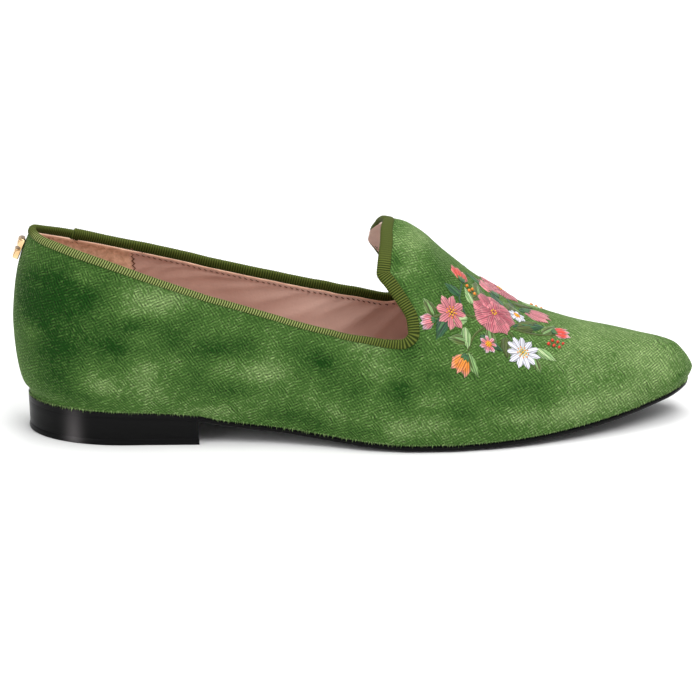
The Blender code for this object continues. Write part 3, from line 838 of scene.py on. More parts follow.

# %% [markdown]
# The strokes and three sizes of mottle choose between dark, middle and light green, and the
# gaps between the tufts are painted darker as shade. Sheen lets the pile bloom softly.

# %% The colour of the velvet
VELVET_DARK = (0.007, 0.040, 0.004)
VELVET_MID = (0.056, 0.122, 0.026)
VELVET_LIGHT = (0.200, 0.290, 0.110)
# this attribute carries painted light and shade as well as the lie of the pile
light = math_node(tree, "MULTIPLY_ADD", marked(tree, "pile_and_shade"), 0.44, 0.225)
light = math_node(tree, "MULTIPLY_ADD", blotches.outputs[0], 0.15, light)
light = math_node(tree, "MULTIPLY_ADD", small_blotches.outputs[0], 0.13, light)
light = math_node(tree, "MULTIPLY_ADD", one_tuft.outputs[0], 0.36, math_node(
    tree, "SUBTRACT", light, 0.08))
ramp = node(tree, "ShaderNodeValToRGB")
ramp.color_ramp.elements[0].position = 0.0
ramp.color_ramp.elements[0].color = (*VELVET_DARK, 1)
ramp.color_ramp.elements[1].position = 1.0
ramp.color_ramp.elements[1].color = (*VELVET_LIGHT, 1)
middle_stop = ramp.color_ramp.elements.new(0.5)
middle_stop.color = (*VELVET_MID, 1)
tree.links.new(light, ramp.inputs[0])
# painted shade: the colour is darkened in the gaps between the tufts
shade = math_node(tree, "MULTIPLY_ADD", field, 0.92, 1.0)
tree.links.new(shaded(tree, ramp.outputs[0], shade), shader.inputs["Base Color"])
velvet.data.materials.append(velvet_stuff)
print("the velvet's shader has", len(tree.nodes), "nodes")

# %% [markdown]
# Where the velvet is cut off above the sole, its pile hangs over the black edge in small tufts.
# Each is a three-sided spike of four faces, leaning a little its own way, and there are about
# sixteen in a centimetre. Towards the toe they are shorter, where the cloth was trimmed closer.

# %% Tufts over the sole's edge
chance = np.random.default_rng(7)
fine_foot, fine_side = around(feet(200, 1600, 120))
rim_fine = last(fine_foot, fine_side * 1.0)
rim_gone = np.concatenate([[0], np.cumsum(np.linalg.norm(np.diff(rim_fine, axis=0), axis=1))])
tuft_count = int(rim_gone[-1] / (0.62 * MM))
places = (np.arange(tuft_count) + chance.uniform(0.1, 0.9, tuft_count)) * rim_gone[-1] / tuft_count
near = np.searchsorted(rim_gone, places).clip(0, len(fine_foot) - 1)
t_at, t_across = fine_foot[near], fine_side[near] * 0.985
t_out = outwards(t_at, t_across)
t_root = last(t_at, fine_side[near] * 1.0) + np.array([0, 0, 0.5 * MM]) - t_out * 0.15 * MM
t_down = np.broadcast_to([0, 0, -1.0], t_out.shape)
t_along = unit(np.cross(t_down, t_out))
trimmed = 1 - 0.55 * np.clip((t_at - 0.60) / 0.12, 0, 1)
tuft_long = (0.1 + 1.1 * chance.uniform(0, 1, tuft_count) ** 2.2 * trimmed)[:, None] * MM
sway = chance.normal(0, 0.35, tuft_count)[:, None]
wide = chance.uniform(0.24, 0.48, tuft_count)[:, None] * MM
stands_out = np.where(t_at < 0.05, 0.15, 0.50)[:, None] * MM
tip = t_root + t_down * (0.6 * MM + tuft_long) + t_along * sway * tuft_long + t_out * stands_out
front_corner = t_root + t_out * stands_out * 1.3 + t_down * 0.3 * MM
corner = [t_root - t_along * wide, t_root + t_along * wide, front_corner]
spikes = np.stack([*corner, tip], axis=1).reshape(-1, 3)
spike_faces = []
for k in range(0, len(spikes), 4):
    spike_faces += [(k, k + 1, k + 3), (k + 1, k + 2, k + 3), (k + 2, k, k + 3), (k, k + 2, k + 1)]
spike_uv = np.repeat(cloth_uv(t_at, t_across), 4, axis=0)
fringe = from_faces("pile_over_sole", spikes, spike_faces, spike_uv)
face_out(fringe)
mark(fringe, "pile_and_shade", np.full(len(spikes), 0.55))
fringe.data.materials.append(velvet_stuff)
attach(fringe, "root")
report(fringe)

# %% [markdown]
# ## The ribbon on the edge
# The raw edge of the opening is bound with grosgrain, a ribbon with ribs across it, folded in
# half over the edge. Its ribs are real here: a section of the folded ribbon is carried round
# the opening in quarter-rib steps and swells on each rib. The ribs slant on the outer side,
# where the ribbon was pulled along as it was sewn, and stand higher on the far side.

# %% How the ribbon lies round the opening
RIBBON_OUTSIDE = 4.3 * MM
RIBBON_INSIDE = 2.6 * MM
RIB_PITCH = 0.97 * MM
SLANT = math.radians(12)
LAP_FOOT = 0.075
rib_count = round(EDGE_LENGTH / RIB_PITCH)
station_gone = np.arange(rib_count * 4) / (rib_count * 4) * EDGE_LENGTH
station_place = np.interp(station_gone, EDGE_GONE, signed)


on_quarter = ease(station_place, 0.0, 0.012) * (1 - ease(station_place, 0.53, 0.60))
on_tab = ease(station_place, 0.715, 0.745) * (1 - ease(station_place, 0.84, 0.87))
inner_foot = 2 * TAB_FOOT - station_place
far_throat = ease(station_place, TAB_FOOT + 0.005, TAB_FOOT + 0.04) * ease(inner_foot, 0.64, 0.69)
lap_gone = np.interp(2 * TAB_FOOT - LAP_FOOT, signed, EDGE_GONE)
at, across, band, along, out, into = edge_frame(station_gone)
on_far = ease(station_place, TAB_FOOT, TAB_FOOT + 0.01) * ease(inner_foot, 0.12, 0.2) * (
    1 - ease(inner_foot, 0.48, 0.60))
at_back = 1 - ease(np.minimum(station_place, inner_foot), 0.0, 0.06)
rise = (0.60 * on_far - 0.45 * at_back)[:, None] * MM
edge_line = last(at, across) - into * rise
ribness = (1 - 0.8 * on_tab)[:, None]
swell = 0.075 * MM * (1 - np.cos(2 * np.pi * np.arange(rib_count * 4) / 4))[:, None] * ribness
slanted = into - along * (math.tan(SLANT) * on_quarter)[:, None]
print(rib_count, "ribs, one every", round(EDGE_LENGTH / rib_count / MM, 2), "mm")

# %% [markdown]
# A section of the folded ribbon has fourteen points: five on the velvet, five round the fold and
# four on the lining. The two ends of the ribbon lap near the back, the upper one cut on a slant.

# %% Sections of the folded ribbon
OUTSIDE_ROWS = ((1.0, 0.02), (1.0, 0.34), (0.93, 0.50), (0.6, 0.56), (0.25, 0.60))
FOLD_ANGLES = (-70, -35, 0, 35, 70)
INSIDE_ROWS = ((0.3, 0.44), (0.65, 0.42), (1.0, 0.36), (1.0, 0.02))
velvet_side, lining_side, fold = [], [], []


def lap(row):
    """How far the upper end of the ribbon lies over the lower one; it is cut on a slant."""
    before = lap_gone + (row - 7) * 0.28 * MM - station_gone
    return np.where(before > 0, 0.75 * MM * np.exp(-np.clip(before, 0, 1) / (18 * MM)), 0)[:, None]


for row, (share, height) in enumerate(OUTSIDE_ROWS):
    a, c = walk(at, across, slanted, RIBBON_OUTSIDE * band * share)
    lift = height * MM + (swell + lap(row) if height > 0.3 else 0)
    velvet_side.append(last(a, c) + outwards(a, c) * lift)
for row, angle in enumerate(FOLD_ANGLES):
    turned = math.radians(angle)
    radius = UPPER_WALL / 2 + 0.5 * MM + swell + lap(row + 5)
    fold.append(
        edge_line - out * UPPER_WALL / 2 - into * (radius * math.cos(turned) - 0.35 * MM)
        - out * radius * math.sin(turned)
    )
inside = RIBBON_INSIDE * (1 - 0.75 * far_throat)
for row, (share, depth) in enumerate(INSIDE_ROWS):
    a, c = walk(at, across, into, inside * share)
    lift = UPPER_WALL + depth * MM + (swell + lap(row + 10) if depth > 0.3 else 0)
    lining_side.append(last(a, c) - outwards(a, c) * lift)
sections = np.stack(velvet_side + fold + lining_side, axis=0)
widths = np.concatenate([[0], np.cumsum(np.linalg.norm(np.diff(sections[:, 0], axis=0), axis=1))])
sections = np.concatenate([sections, sections[:, :1]], axis=1)
gone = np.append(station_gone, EDGE_LENGTH)
uv = np.stack(np.broadcast_arrays(gone[None, :], widths[:, None]), axis=-1)
ribbon = laid_grid("ribbon_binding", sections, uv)

# %% [markdown]
# The ribbon isn't one even green. Where its folded half faces down into the shoe, and at its
# foot by the velvet, it gets painted shade; on the quarter, where it faces the light, painted
# light; and on the tab its ribs are pulled nearly flat.
# Those places are marked on its points, and then its two ends are joined.

# %% Where the ribbon has painted shade, painted light or plain ribs
def round_marks(values, rows):
    """A value for each station and row, with the first station repeated at the end."""
    both = np.asarray(values)[None, :] * np.asarray(rows)[:, None]
    return np.concatenate([both, both[:, :1]], axis=1)


painted_shade_rows = [1.0, 0.6, 0, 0, 0, 0, 0, 0, 0.1, 0.2, 0.45, 0.8, 1.0, 1.0]
painted_light_rows = [1, 1, 1, 1, 1, 0.9, 0.6, 0.35, 0.2, 0.1, 0, 0, 0, 0]
far_fold = ease(station_place, TAB_FOOT, TAB_FOOT + 0.01)
plain_rows = [0, 0, 0, 0, 0, 0.1, 0.3, 0.4, 0.2, 0.1, 0, 0, 0, 0]
on_back = on_quarter * (1 - ease(station_place, 0.40, 0.56))
plain_marks = np.maximum(round_marks(on_tab, [1] * 14), round_marks(far_fold, plain_rows))
mark(ribbon, "plain", plain_marks)
# the deep mark is painted shade, where the fold faces into the shoe and at its foot by the velvet
mark(ribbon, "deep", round_marks(np.ones(len(at)), painted_shade_rows))
mark(ribbon, "painted_light", round_marks(on_back, painted_light_rows))
weld(ribbon)
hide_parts("topline_binding")
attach(ribbon, "root")
report(ribbon)

# %% [markdown]
# The shader draws the same ribs as the mesh, from the length along the ribbon, with painted
# shade in the gaps and light ribs, and stretches a noise across them for the single threads.

# %% Grosgrain
GAP_SHADE_TONE = (0.016, 0.027, 0.002)
RIB_TONE = (0.110, 0.135, 0.022)
PAINTED_LIGHT_TONE = (0.300, 0.350, 0.115)
SHADE_TONE = (0.022, 0.034, 0.006)
ribbon_stuff, tree, shader = new_material(
    "grosgrain", Roughness=0.7, Specular_IOR_Level=0.1, Sheen_Weight=0.05, Sheen_Roughness=0.4,
    Sheen_Tint=(0.7, 0.8, 0.4),
)
uv_node = node(tree, "ShaderNodeUVMap", uv_map="along_surface")
split = node(tree, "ShaderNodeSeparateXYZ")
tree.links.new(uv_node.outputs[0], split.inputs[0])
turns = math_node(tree, "MULTIPLY", split.outputs[0], 2 * math.pi / (EDGE_LENGTH / rib_count))
wave = math_node(tree, "MULTIPLY_ADD", math_node(tree, "COSINE", turns), -0.5, 0.5)
wave = math_node(tree, "POWER", wave, 1.9)
plain = marked(tree, "plain")
threads = noise(tree, scaled(tree, uv_node.outputs[0], (900, 5200, 1)), 1.0, 3.0)
ribbed = math_node(tree, "MULTIPLY_ADD", plain, -0.72, 1.0)
lit = math_node(tree, "SUBTRACT", 1.0, math_node(tree, "MULTIPLY", ribbed, math_node(
    tree, "SUBTRACT", 1.0, wave)))
lit = math_node(tree, "MULTIPLY_ADD", threads.outputs[0], 0.30, math_node(
    tree, "SUBTRACT", lit, 0.15))
# painted light on the quarter, then painted shade where the fold faces into the shoe and at its
# foot
rib_colour = mix_colour(tree, marked(tree, "painted_light"), RIB_TONE, PAINTED_LIGHT_TONE)
rib_colour = mix_colour(tree, marked(tree, "deep"), rib_colour, SHADE_TONE)
# painted shade in the gaps between the ribs
colour = mix_colour(tree, lit, GAP_SHADE_TONE, rib_colour)
dulled = math_node(tree, "MULTIPLY", plain, 0.55)
colour = mix_colour(tree, dulled, colour, SHADE_TONE)
tree.links.new(colour, shader.inputs["Base Color"])
bump(tree, shader, threads.outputs[0], 0.08 * MM, 0.6)
ribbon.data.materials.append(ribbon_stuff)
print(ribbon_stuff.name, "has", len(tree.nodes), "nodes")

# %% [markdown]
# ## The lining
# Inside, the upper is lined with thin leather. Its top edge is folded over and stitched through
# the ribbon, so it stands a little proud of it. The rows of its grid are close there and wide
# below, and keep their real distance from the edge of the opening.

# %% Rows of the lining
LINING_TOP = 2.2 * MM  # from the edge of the opening down to the folded edge
foot, side = around(feet(16, 150, 10))
ups = np.concatenate([np.linspace(0, 0.82, 34, endpoint=False), np.linspace(0.82, 1, 30)])
at, across = rib_grid(foot, side, ups[:, None])
skin = last(at, across)
lengths = np.concatenate(
    [np.zeros((1, len(foot))), np.cumsum(np.linalg.norm(np.diff(skin, axis=0), axis=2), axis=0)]
)
on_edge = foot <= TAB_FOOT + 1e-9
far_tab = np.where(side == INNER, ease(foot, 0.60, 0.68), 0.0) * (1 - ease(foot, 0.775, 0.785))
edge_dir = unit(np.gradient(skin[-1], axis=0))
rib_dir = unit(skin[-1] - skin[-3])
slant = np.clip(np.linalg.norm(np.cross(edge_dir, rib_dir), axis=1), 0.35, 1)
from_top = (lengths[-1][None, :] - lengths) * slant[None, :]
row_shares = np.concatenate([[0, 0.0, 0.10, 0.3, 0.6], np.geomspace(1.0, 40, 34)]) * MM
total = from_top[0]
new_ups = np.zeros((len(row_shares) + 16, len(foot)))
for k in range(len(foot)):
    top = LINING_TOP * (1 - 0.85 * far_tab[k]) if on_edge[k] else 0.0
    reach = min(44 * MM, 0.55 * total[k])
    wanted = top + row_shares * reach / (40 * MM)
    lower = np.linspace(wanted[-1], total[k], 17)[1:]
    wanted = np.concatenate([wanted, lower])
    new_ups[:, k] = np.interp(wanted, from_top[::-1, k], ups[::-1])
at, across = rib_grid(foot, side, new_ups)
skin, out = last(at, across), outwards(at, across)
print("the lining's grid has", at.shape[0], "rows and", at.shape[1], "columns")

# %% [markdown]
# The folded edge swells and waves a little between its stitches. The back part is a grip of
# softer, warmer suede, a third of a millimetre thick, that ends at a seam running forward.

# %% Folded edge and heel grip
GRIP_AT = 0.1705  # at the edge of the opening; lower down the seam runs forward
down = np.linalg.norm(skin - skin[:1], axis=2) / MM
ripple = 0.28 * np.sin(foot * 210) * np.sin(foot * 87 + 1)
proud = np.where(on_edge[None, :], (0.75 + ripple[None, :]) * np.exp(-((down / 2.6) ** 2)), 0.0)
before_seam = at - GRIP_AT - 0.09 * (np.abs(across) - 0.615)
grip_raise = 0.35 / (1 + np.exp(before_seam / 0.0022))
print("the folded edge stands up to", round(float(proud.max()), 2), "mm proud")

# %% [markdown]
# The lining is softer than the velvet, so it wrinkles. Fine folds fan out from the foot of the
# zigzag seam and run along the side, and coarser ones lie where the vamp bends. Each is a row
# of the table: a long low ridge at its own angle.

# %% Wrinkles of the lining
WRINKLES = (  # at, turn, side, length, width in mm, lean in degrees, height in mm
    (0.176, 0.315, INNER, 4.5, 0.8, 62, 0.34),
    (0.184, 0.305, INNER, 6.0, 0.8, 44, 0.36),
    (0.196, 0.315, INNER, 8.0, 0.9, 28, 0.36),
    (0.206, 0.290, INNER, 9.0, 1.0, 18, 0.34),
    (0.240, 0.320, INNER, 13, 1.1, 4, 0.32),
    (0.260, 0.285, INNER, 15, 1.3, 2, 0.34),
    (0.300, 0.310, INNER, 15, 1.2, -4, 0.30),
    (0.340, 0.280, INNER, 16, 1.4, 6, 0.36),
    (0.400, 0.260, INNER, 16, 1.5, 14, 0.42),
    (0.430, 0.215, INNER, 17, 1.6, 22, 0.46),
    (0.470, 0.245, INNER, 15, 1.5, 20, 0.42),
    (0.490, 0.200, INNER, 18, 1.7, 30, 0.48),
    (0.525, 0.255, INNER, 13, 1.4, 34, 0.42),
    (0.545, 0.205, INNER, 13, 1.5, 42, 0.46),
    (0.360, 0.170, INNER, 22, 2.2, 10, 0.40),
    (0.280, 0.200, INNER, 24, 2.4, 6, 0.35),
    (0.060, 0.330, INNER, 6, 1.2, 30, 0.22),
    (0.100, 0.350, INNER, 7, 1.1, -25, 0.22),
    (0.400, 0.200, OUTER, 22, 2.2, 16, 0.40),
    (0.500, 0.200, OUTER, 20, 2.0, 28, 0.45),
    (0.300, 0.180, OUTER, 24, 2.4, 8, 0.35),
    (0.240, 0.300, OUTER, 12, 1.2, 4, 0.30),
)
crease = np.zeros(skin.shape[:2])
for a, turn, s, length, width, lean_deg, height in WRINKLES:
    away = (skin - last(a, s * (1 - turn))) / MM
    cs, sn = math.cos(math.radians(lean_deg)), math.sin(math.radians(lean_deg))
    u = away[..., 0] * cs + away[..., 2] * sn
    v = -away[..., 0] * sn + away[..., 2] * cs
    crease += height * np.exp(-((u / length) ** 2) - (v / width) ** 2) * (np.sign(across) == s)
crease *= ease(down, 1.2, 3.5)
print(len(WRINKLES), "wrinkles, up to", round(float(crease.max()), 2), "mm high together")

# %% [markdown]
# Now the lining is laid inside the wall, that far in. On the far side of the tab it rises a
# little over the edge, where it shows as a wedge that the material paints paler as painted light.

# %% Lay the lining inside
depth = UPPER_WALL + 0.12 * MM + (proud + grip_raise + crease) * MM
inner_face = skin - out * depth[..., None]
upwards = unit(skin[0] - skin[8])
lifted = far_tab * ease(foot, 0.68, 0.705) * (1 - ease(foot, 0.735, 0.77))
raised = 2.0 * MM * lifted[None, :] * np.exp(-((down / 3.0) ** 2))
inner_face += upwards[None] * raised[..., None]
top_back = skin[0] - out[0] * (UPPER_WALL + 0.5 * MM)
inner_face[0] = np.where(on_edge[:, None], top_back, inner_face[0])
uv = cloth_uv(at, across)
lining = laid_grid("leather_lining", inner_face, uv)
painted_light_share = ease(at, 0.30, 0.56)
fold_highlight_mask = np.where(on_edge[None, :], np.exp(-((down / 0.55) ** 2)), 0.0)
fold_highlight_mask = fold_highlight_mask * (1 - 0.8 * far_tab[None, :])
mark(lining, "grip", 1 / (1 + np.exp(np.clip((before_seam + 0.002) / 0.0010, -30, 30))))
# painted highlight: the folded edge is painted paler
mark(lining, "fold", fold_highlight_mask)
# painted light: the lining is painted paler deep in the front, and on the far tab below
mark(lining, "front", painted_light_share)
mark(lining, "painted_light_tab", np.broadcast_to(far_tab[None, :] * ease(at, 0.46, 0.50), at.shape))
weld(lining)
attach(lining, "root")
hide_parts("upper")
report(lining)

# %% [markdown]
# The leather is a pale rose tan with a fine grain, painted paler deep in the front and on the
# far tab as painted light. The grip is rougher and warmer, and the folded edge is painted paler
# as a highlight.

# %% Lining leather
lining_stuff, tree, shader = new_material(
    "lining_leather", Roughness=0.52, Specular_IOR_Level=0.35, Sheen_Weight=0.15,
)
position = place_of(tree)
grain = use_group(tree, GRAIN, position, Grain_size=0.0011)
mottle = use_group(tree, MOTTLE, position, Patch_size=0.02)
nap = use_group(tree, MOTTLE, position, Patch_size=0.0022)
grip = marked(tree, "grip")
plain = mix_colour(tree, mottle.outputs[0], (0.50, 0.300, 0.240), (0.59, 0.365, 0.295))
painted_light_pale = mix_colour(tree, mottle.outputs[0], (0.74, 0.50, 0.42), (0.82, 0.57, 0.48))
# painted light: paler deep in the front and on the far tab
plain = mix_colour(tree, marked(tree, "front"), plain, painted_light_pale)
plain = mix_colour(tree, marked(tree, "painted_light_tab"), plain, (1.0, 0.82, 0.72))
suede = mix_colour(tree, nap.outputs[0], (0.51, 0.290, 0.180), (0.84, 0.530, 0.355))
colour = mix_colour(tree, grip, plain, suede)
# painted highlight on the folded edge
colour = mix_colour(tree, marked(tree, "fold"), colour, (0.95, 0.60, 0.43))
tree.links.new(colour, shader.inputs["Base Color"])
rough = math_node(tree, "MULTIPLY_ADD", grip, 0.40, 0.42)
tree.links.new(rough, shader.inputs["Roughness"])
height = math_node(tree, "MULTIPLY_ADD", math_node(
    tree, "MULTIPLY", nap.outputs[0], grip), 2.0, grain.outputs[0])
bump(tree, shader, height, 0.07 * MM, 0.6)
lining.data.materials.append(lining_stuff)
print(lining_stuff.name, "has", len(tree.nodes), "nodes")

# %% [markdown]
# ## Stitches
# Each stitch is a short grain of thread lying in the leather, one small shape copied along a
# line. They are joined into one mesh, because a shoe has hundreds of them.

# %% Rows of stitches
def stitches(name, points, along, out, length, thick):
    """A row of thread grains, each a low six-sided pillow."""
    ring = [(math.cos(a), math.sin(a)) for a in np.arange(6) * math.pi / 3]
    levels = ((-0.5, 0.12), (-0.36, 0.8), (0.0, 1.0), (0.36, 0.8), (0.5, 0.12))
    verts, faces = [], []
    sideways = unit(np.cross(out, along))
    for p, a, o, s in zip(points, along, out, sideways):
        start = len(verts)
        for where, size in levels:
            for c, d in ring:
                verts.append(p + a * where * length + (s * c + o * d) * thick * size / 2)
        for level in range(len(levels) - 1):
            for k in range(6):
                n = (k + 1) % 6
                b = start + level * 6
                faces.append((b + k, b + n, b + 6 + n, b + 6 + k))
        faces.append([start + 5 - k for k in range(6)])
        faces.append([start + 24 + k for k in range(6)])
    return from_faces(name, verts, faces)


STITCH_PITCH = 2.3 * MM
count = round(EDGE_LENGTH / STITCH_PITCH)
gone = np.arange(count) / count * EDGE_LENGTH
place = np.interp(gone, EDGE_GONE, signed)
near_tab = ease(place, TAB_FOOT + 0.005, TAB_FOOT + 0.04) * ease(2 * TAB_FOOT - place, 0.60, 0.68)
gone = gone[near_tab < 0.3]  # on the far tab they are hidden in the fold
at, across, band, along, out, into = edge_frame(gone)
a, c = walk(at, across, into, np.full(len(gone), LINING_TOP + 1.35 * MM))
o = outwards(a, c)
places = last(a, c) - o * (UPPER_WALL + 0.86 * MM)
slanting = unit(along - 0.35 * into)
lining_stitches = stitches("lining_stitches", places, slanting, -o, 1.6 * MM, 0.42 * MM)
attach(lining_stitches, "root")
report(lining_stitches)

# %% [markdown]
# The grip is sewn on with a zigzag, so every other stitch leans the other way. All stitches
# share one brown thread.

# %% Zigzag of the grip
zig, zig_along, zig_out = [], [], []
for s in (OUTER, INNER):
    for k, turn in enumerate(np.linspace(0.09, 0.385, 34)):
        a, c = GRIP_AT + 0.09 * (0.385 - turn), s * (1 - turn)
        o = outwards(a, c)
        spot = last(a, c) - o * (UPPER_WALL + 0.50 * MM)
        t_along, t_over = slopes_of(np.array(a), np.array(c))
        lean_way = unit(unit(t_over) + (0.9 if k % 2 else -0.9) * unit(t_along))
        zig.append(spot)
        zig_along.append(lean_way)
        zig_out.append(-o)
grip_stitches = stitches(
    "grip_stitches", np.array(zig), np.array(zig_along), np.array(zig_out), 2.0 * MM, 0.55 * MM
)
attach(grip_stitches, "root")
thread_stuff, tree, shader = new_material("brown_thread", Roughness=0.6)
position = place_of(tree)
twist = use_group(tree, GRAIN, position, Grain_size=0.0003)
tone = mix_colour(tree, twist.outputs[0], (0.055, 0.024, 0.014), (0.14, 0.065, 0.04))
tree.links.new(tone, shader.inputs["Base Color"])
for row in (lining_stitches, grip_stitches):
    row.data.materials.append(thread_stuff)
report(grip_stitches)

# %% [markdown]
# ## The insole
# The foot stands on a thin padded sock of the same leather, a little crowned, which meets the
# lining all round. It is a plate with the sole's outline whose edge is rolled down.

# %% Plates with the sole's outline
def outline(at, side, inset):
    """The edge of the sole in plan, moved inwards."""
    step = 1e-3
    here = last(at, side * 1.0)
    along = last(at + step, side * 1.0) - last(at - step, side * 1.0)
    inwards = unit(np.stack([along[..., 1], -along[..., 0], 0 * along[..., 0]], axis=-1)) * side
    return here + inwards * np.asarray(inset)[..., None]


def plate(name, stations, shares, layers, shape=None, crown=0.0):
    """A closed plate. Each layer is a height function of (at, share) and an inset; the first and
    last layers are filled, and the crown swells the last one."""
    grids = []
    for k, (height, inset) in enumerate(layers):
        inset = np.full(len(stations), inset) if np.isscalar(inset) else inset
        left, right = outline(stations, OUTER, inset), outline(stations, INNER, inset)
        t = (np.asarray(shares) + 1)[None, :, None] / 2
        grid = left[:, None] * (1 - t) + right[:, None] * t
        grid[..., 2] = height(stations[:, None], np.asarray(shares)[None, :])
        if crown and k == len(layers) - 1:
            lengthwise = np.sin(np.pi * np.clip(stations * 1.02 - 0.01, 0, 1)) ** 0.4
            grid[..., 2] += crown * (1 - np.asarray(shares)[None, :] ** 4) * lengthwise[:, None]
        if shape:
            grid = shape(grid, stations, np.asarray(shares))
        grids.append(grid)
    rows, cols = len(stations), len(shares)
    rim = [(r, 0) for r in range(rows)] + [(rows - 1, c) for c in range(1, cols)]
    rim += [(r, cols - 1) for r in range(rows - 2, -1, -1)]
    rim += [(0, c) for c in range(cols - 2, 0, -1)]
    points = [grids[0].reshape(-1, 3)]
    cells = [(r * cols + c, r * cols + c + 1, (r + 1) * cols + c + 1, (r + 1) * cols + c)
             for r in range(rows - 1) for c in range(cols - 1)]
    faces = list(cells)
    ring = [r * cols + c for r, c in rim]
    total = rows * cols
    for k in range(1, len(grids)):
        if k == len(grids) - 1:
            points.append(grids[k].reshape(-1, 3))
            new_ring = [total + r * cols + c for r, c in rim]
            faces += [(total + i, total + m, total + l, total + j) for i, j, l, m in cells]
        else:
            points.append(np.array([grids[k][r, c] for r, c in rim]))
            new_ring = list(range(total, total + len(rim)))
        for a in range(len(rim)):
            b = (a + 1) % len(rim)
            faces.append((ring[a], ring[b], new_ring[b], new_ring[a]))
        ring = new_ring
        total += len(points[-1])
    piece = from_faces(name, np.concatenate(points), faces)
    apply(piece, "WELD", merge_threshold=0.002 * MM)
    face_out(piece)
    bpy.ops.object.shade_smooth_by_angle(angle=math.radians(38))
    return piece


def above_tread(height):
    """The height function of a layer that follows the sole's underside."""
    return lambda at, share: tread_height(at, share) + height


INSOLE_THICKNESS = 2.8 * MM
stations = feet(14, 110, 10)
shares = np.linspace(-1, 1, 21)
wall = UPPER_WALL + 2 * SEAM_GAP
insole = plate(
    "sock",
    stations,
    shares,
    [
        (above_tread(SOLE_THICKNESS + SEAM_GAP + height), wall + inset * MM)
        for height, inset in (
            (0.1 * MM, 0.3), (0.7 * INSOLE_THICKNESS, -0.1), (0.95 * INSOLE_THICKNESS, 0.3),
            (INSOLE_THICKNESS, 1.1),
        )
    ],
    crown=0.5 * MM,
)
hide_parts("insole")
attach(insole, "root")
sock_stuff, tree, shader = new_material("sock_leather", Roughness=0.5, Specular_IOR_Level=0.4)
position = place_of(tree)
grain = use_group(tree, GRAIN, position, Grain_size=0.0014)
mottle = use_group(tree, MOTTLE, position, Patch_size=0.03)
tone = mix_colour(tree, mottle.outputs[0], (0.37, 0.205, 0.15), (0.42, 0.24, 0.18))
tree.links.new(tone, shader.inputs["Base Color"])
bump(tree, shader, grain.outputs[0], 0.05 * MM, 0.5)
insole.data.materials.append(sock_stuff)
report(insole)

# %% [markdown]
# ## Sole and heel
# The sole is a thin black plate. Its edge shows as a narrow band with a fine line under the
# velvet, and its lower corner is worn round. The heel block and its top piece stand under it.

# %% Outsole
stations = feet(26, 220, 16)
edge_shares = np.linspace(0.9, 1, 4)
shares = np.concatenate([-edge_shares[::-1], np.linspace(-0.85, 0.85, 20), edge_shares])
SOLE_LAYERS = (  # share of the thickness, and the inset in mm in front and under the heel
    (0.00, 0.75, 0.05), (0.10, 0.25, 0.02), (0.26, -0.02, -0.02), (0.55, -0.14, -0.04),
    (0.70, -0.10, -0.02), (0.76, 0.10, 0.00), (0.82, 0.08, 0.00), (0.88, -0.04, -0.04),
    (0.98, 0.04, 0.04), (1.05454545, 0.50, 0.50),
)
HEEL_LENGTH = 65.6 * MM
under_heel = 1 - ease(stations, HEEL_LENGTH / LAST_LENGTH, HEEL_LENGTH / LAST_LENGTH + 0.01)
outsole = plate(
    "sole",
    stations,
    shares,
    [
        (above_tread(share * SOLE_THICKNESS), (front + (heel - front) * under_heel) * MM)
        for share, front, heel in SOLE_LAYERS
    ],
)
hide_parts("outsole")
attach(outsole, "root")
report(outsole)

# %% Heel block and top piece
HEEL_TAPER = 0.4 * MM
TOP_PIECE_PROUD = 0.3 * MM
BREAST_HOLLOW = 1.5 * MM
TOP_PIECE = 2.4 * MM
breast = HEEL_LENGTH / LAST_LENGTH
heel_stations = feet(26, 150, 8)
heel_stations = heel_stations[heel_stations < breast - 0.008]
heel_stations = np.concatenate([heel_stations, np.linspace(breast - 0.006, breast, 5)])
heel_shares = np.linspace(-1, 1, 25)


def hollow_breast(forward):
    """Draws the middle of the heel's front face back, and its end forward by this much."""

    def shape(grid, stations, shares):
        near = np.clip((stations - breast + 0.03) / 0.03, 0, 1)[:, None]
        grid = grid.copy()
        grid[..., 0] += (forward - BREAST_HOLLOW * (1 - shares[None, :] ** 2)) * near
        return grid

    return shape


def mix_height(top_share):
    """Heights between the top piece and the sole."""
    low = TOP_PIECE + 0.02 * MM
    return lambda a, s: low + (tread_height(a, s) - 0.05 * MM - low) * top_share


def level(height):
    """The height function of a flat layer."""
    return lambda a, s: height + 0 * a * s


heel_block = plate(
    "heel",
    heel_stations,
    heel_shares,
    [
        (mix_height(0.0), HEEL_TAPER + 0.06 * MM), (mix_height(0.03), HEEL_TAPER),
        (mix_height(0.35), 0.70 * HEEL_TAPER), (mix_height(0.7), 0.35 * HEEL_TAPER),
        (mix_height(0.99), 0.02 * MM), (mix_height(1.0), 0.05 * MM),
    ],
    shape=hollow_breast(0.0),
)
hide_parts("heel_block")
lift_inset = HEEL_TAPER - TOP_PIECE_PROUD
top_piece = plate(
    "heel_lift",
    heel_stations,
    heel_shares,
    [
        (level(0.0), lift_inset + 0.55 * MM), (level(0.25 * MM), lift_inset + 0.15 * MM),
        (level(0.8 * MM), lift_inset), (level(TOP_PIECE - 0.05 * MM), HEEL_TAPER),
        (level(TOP_PIECE), HEEL_TAPER + 0.05 * MM),
    ],
    shape=hollow_breast(TOP_PIECE_PROUD),
)
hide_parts("heel_top_piece")
for piece in (heel_block, top_piece):
    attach(piece, "root")
    report(piece)

# %% [markdown]
# Sole edge and heel are painted with one black edge dressing and burnished along. Where the heel
# turns to the back a soft grey band is painted in as a highlight, stronger low down.

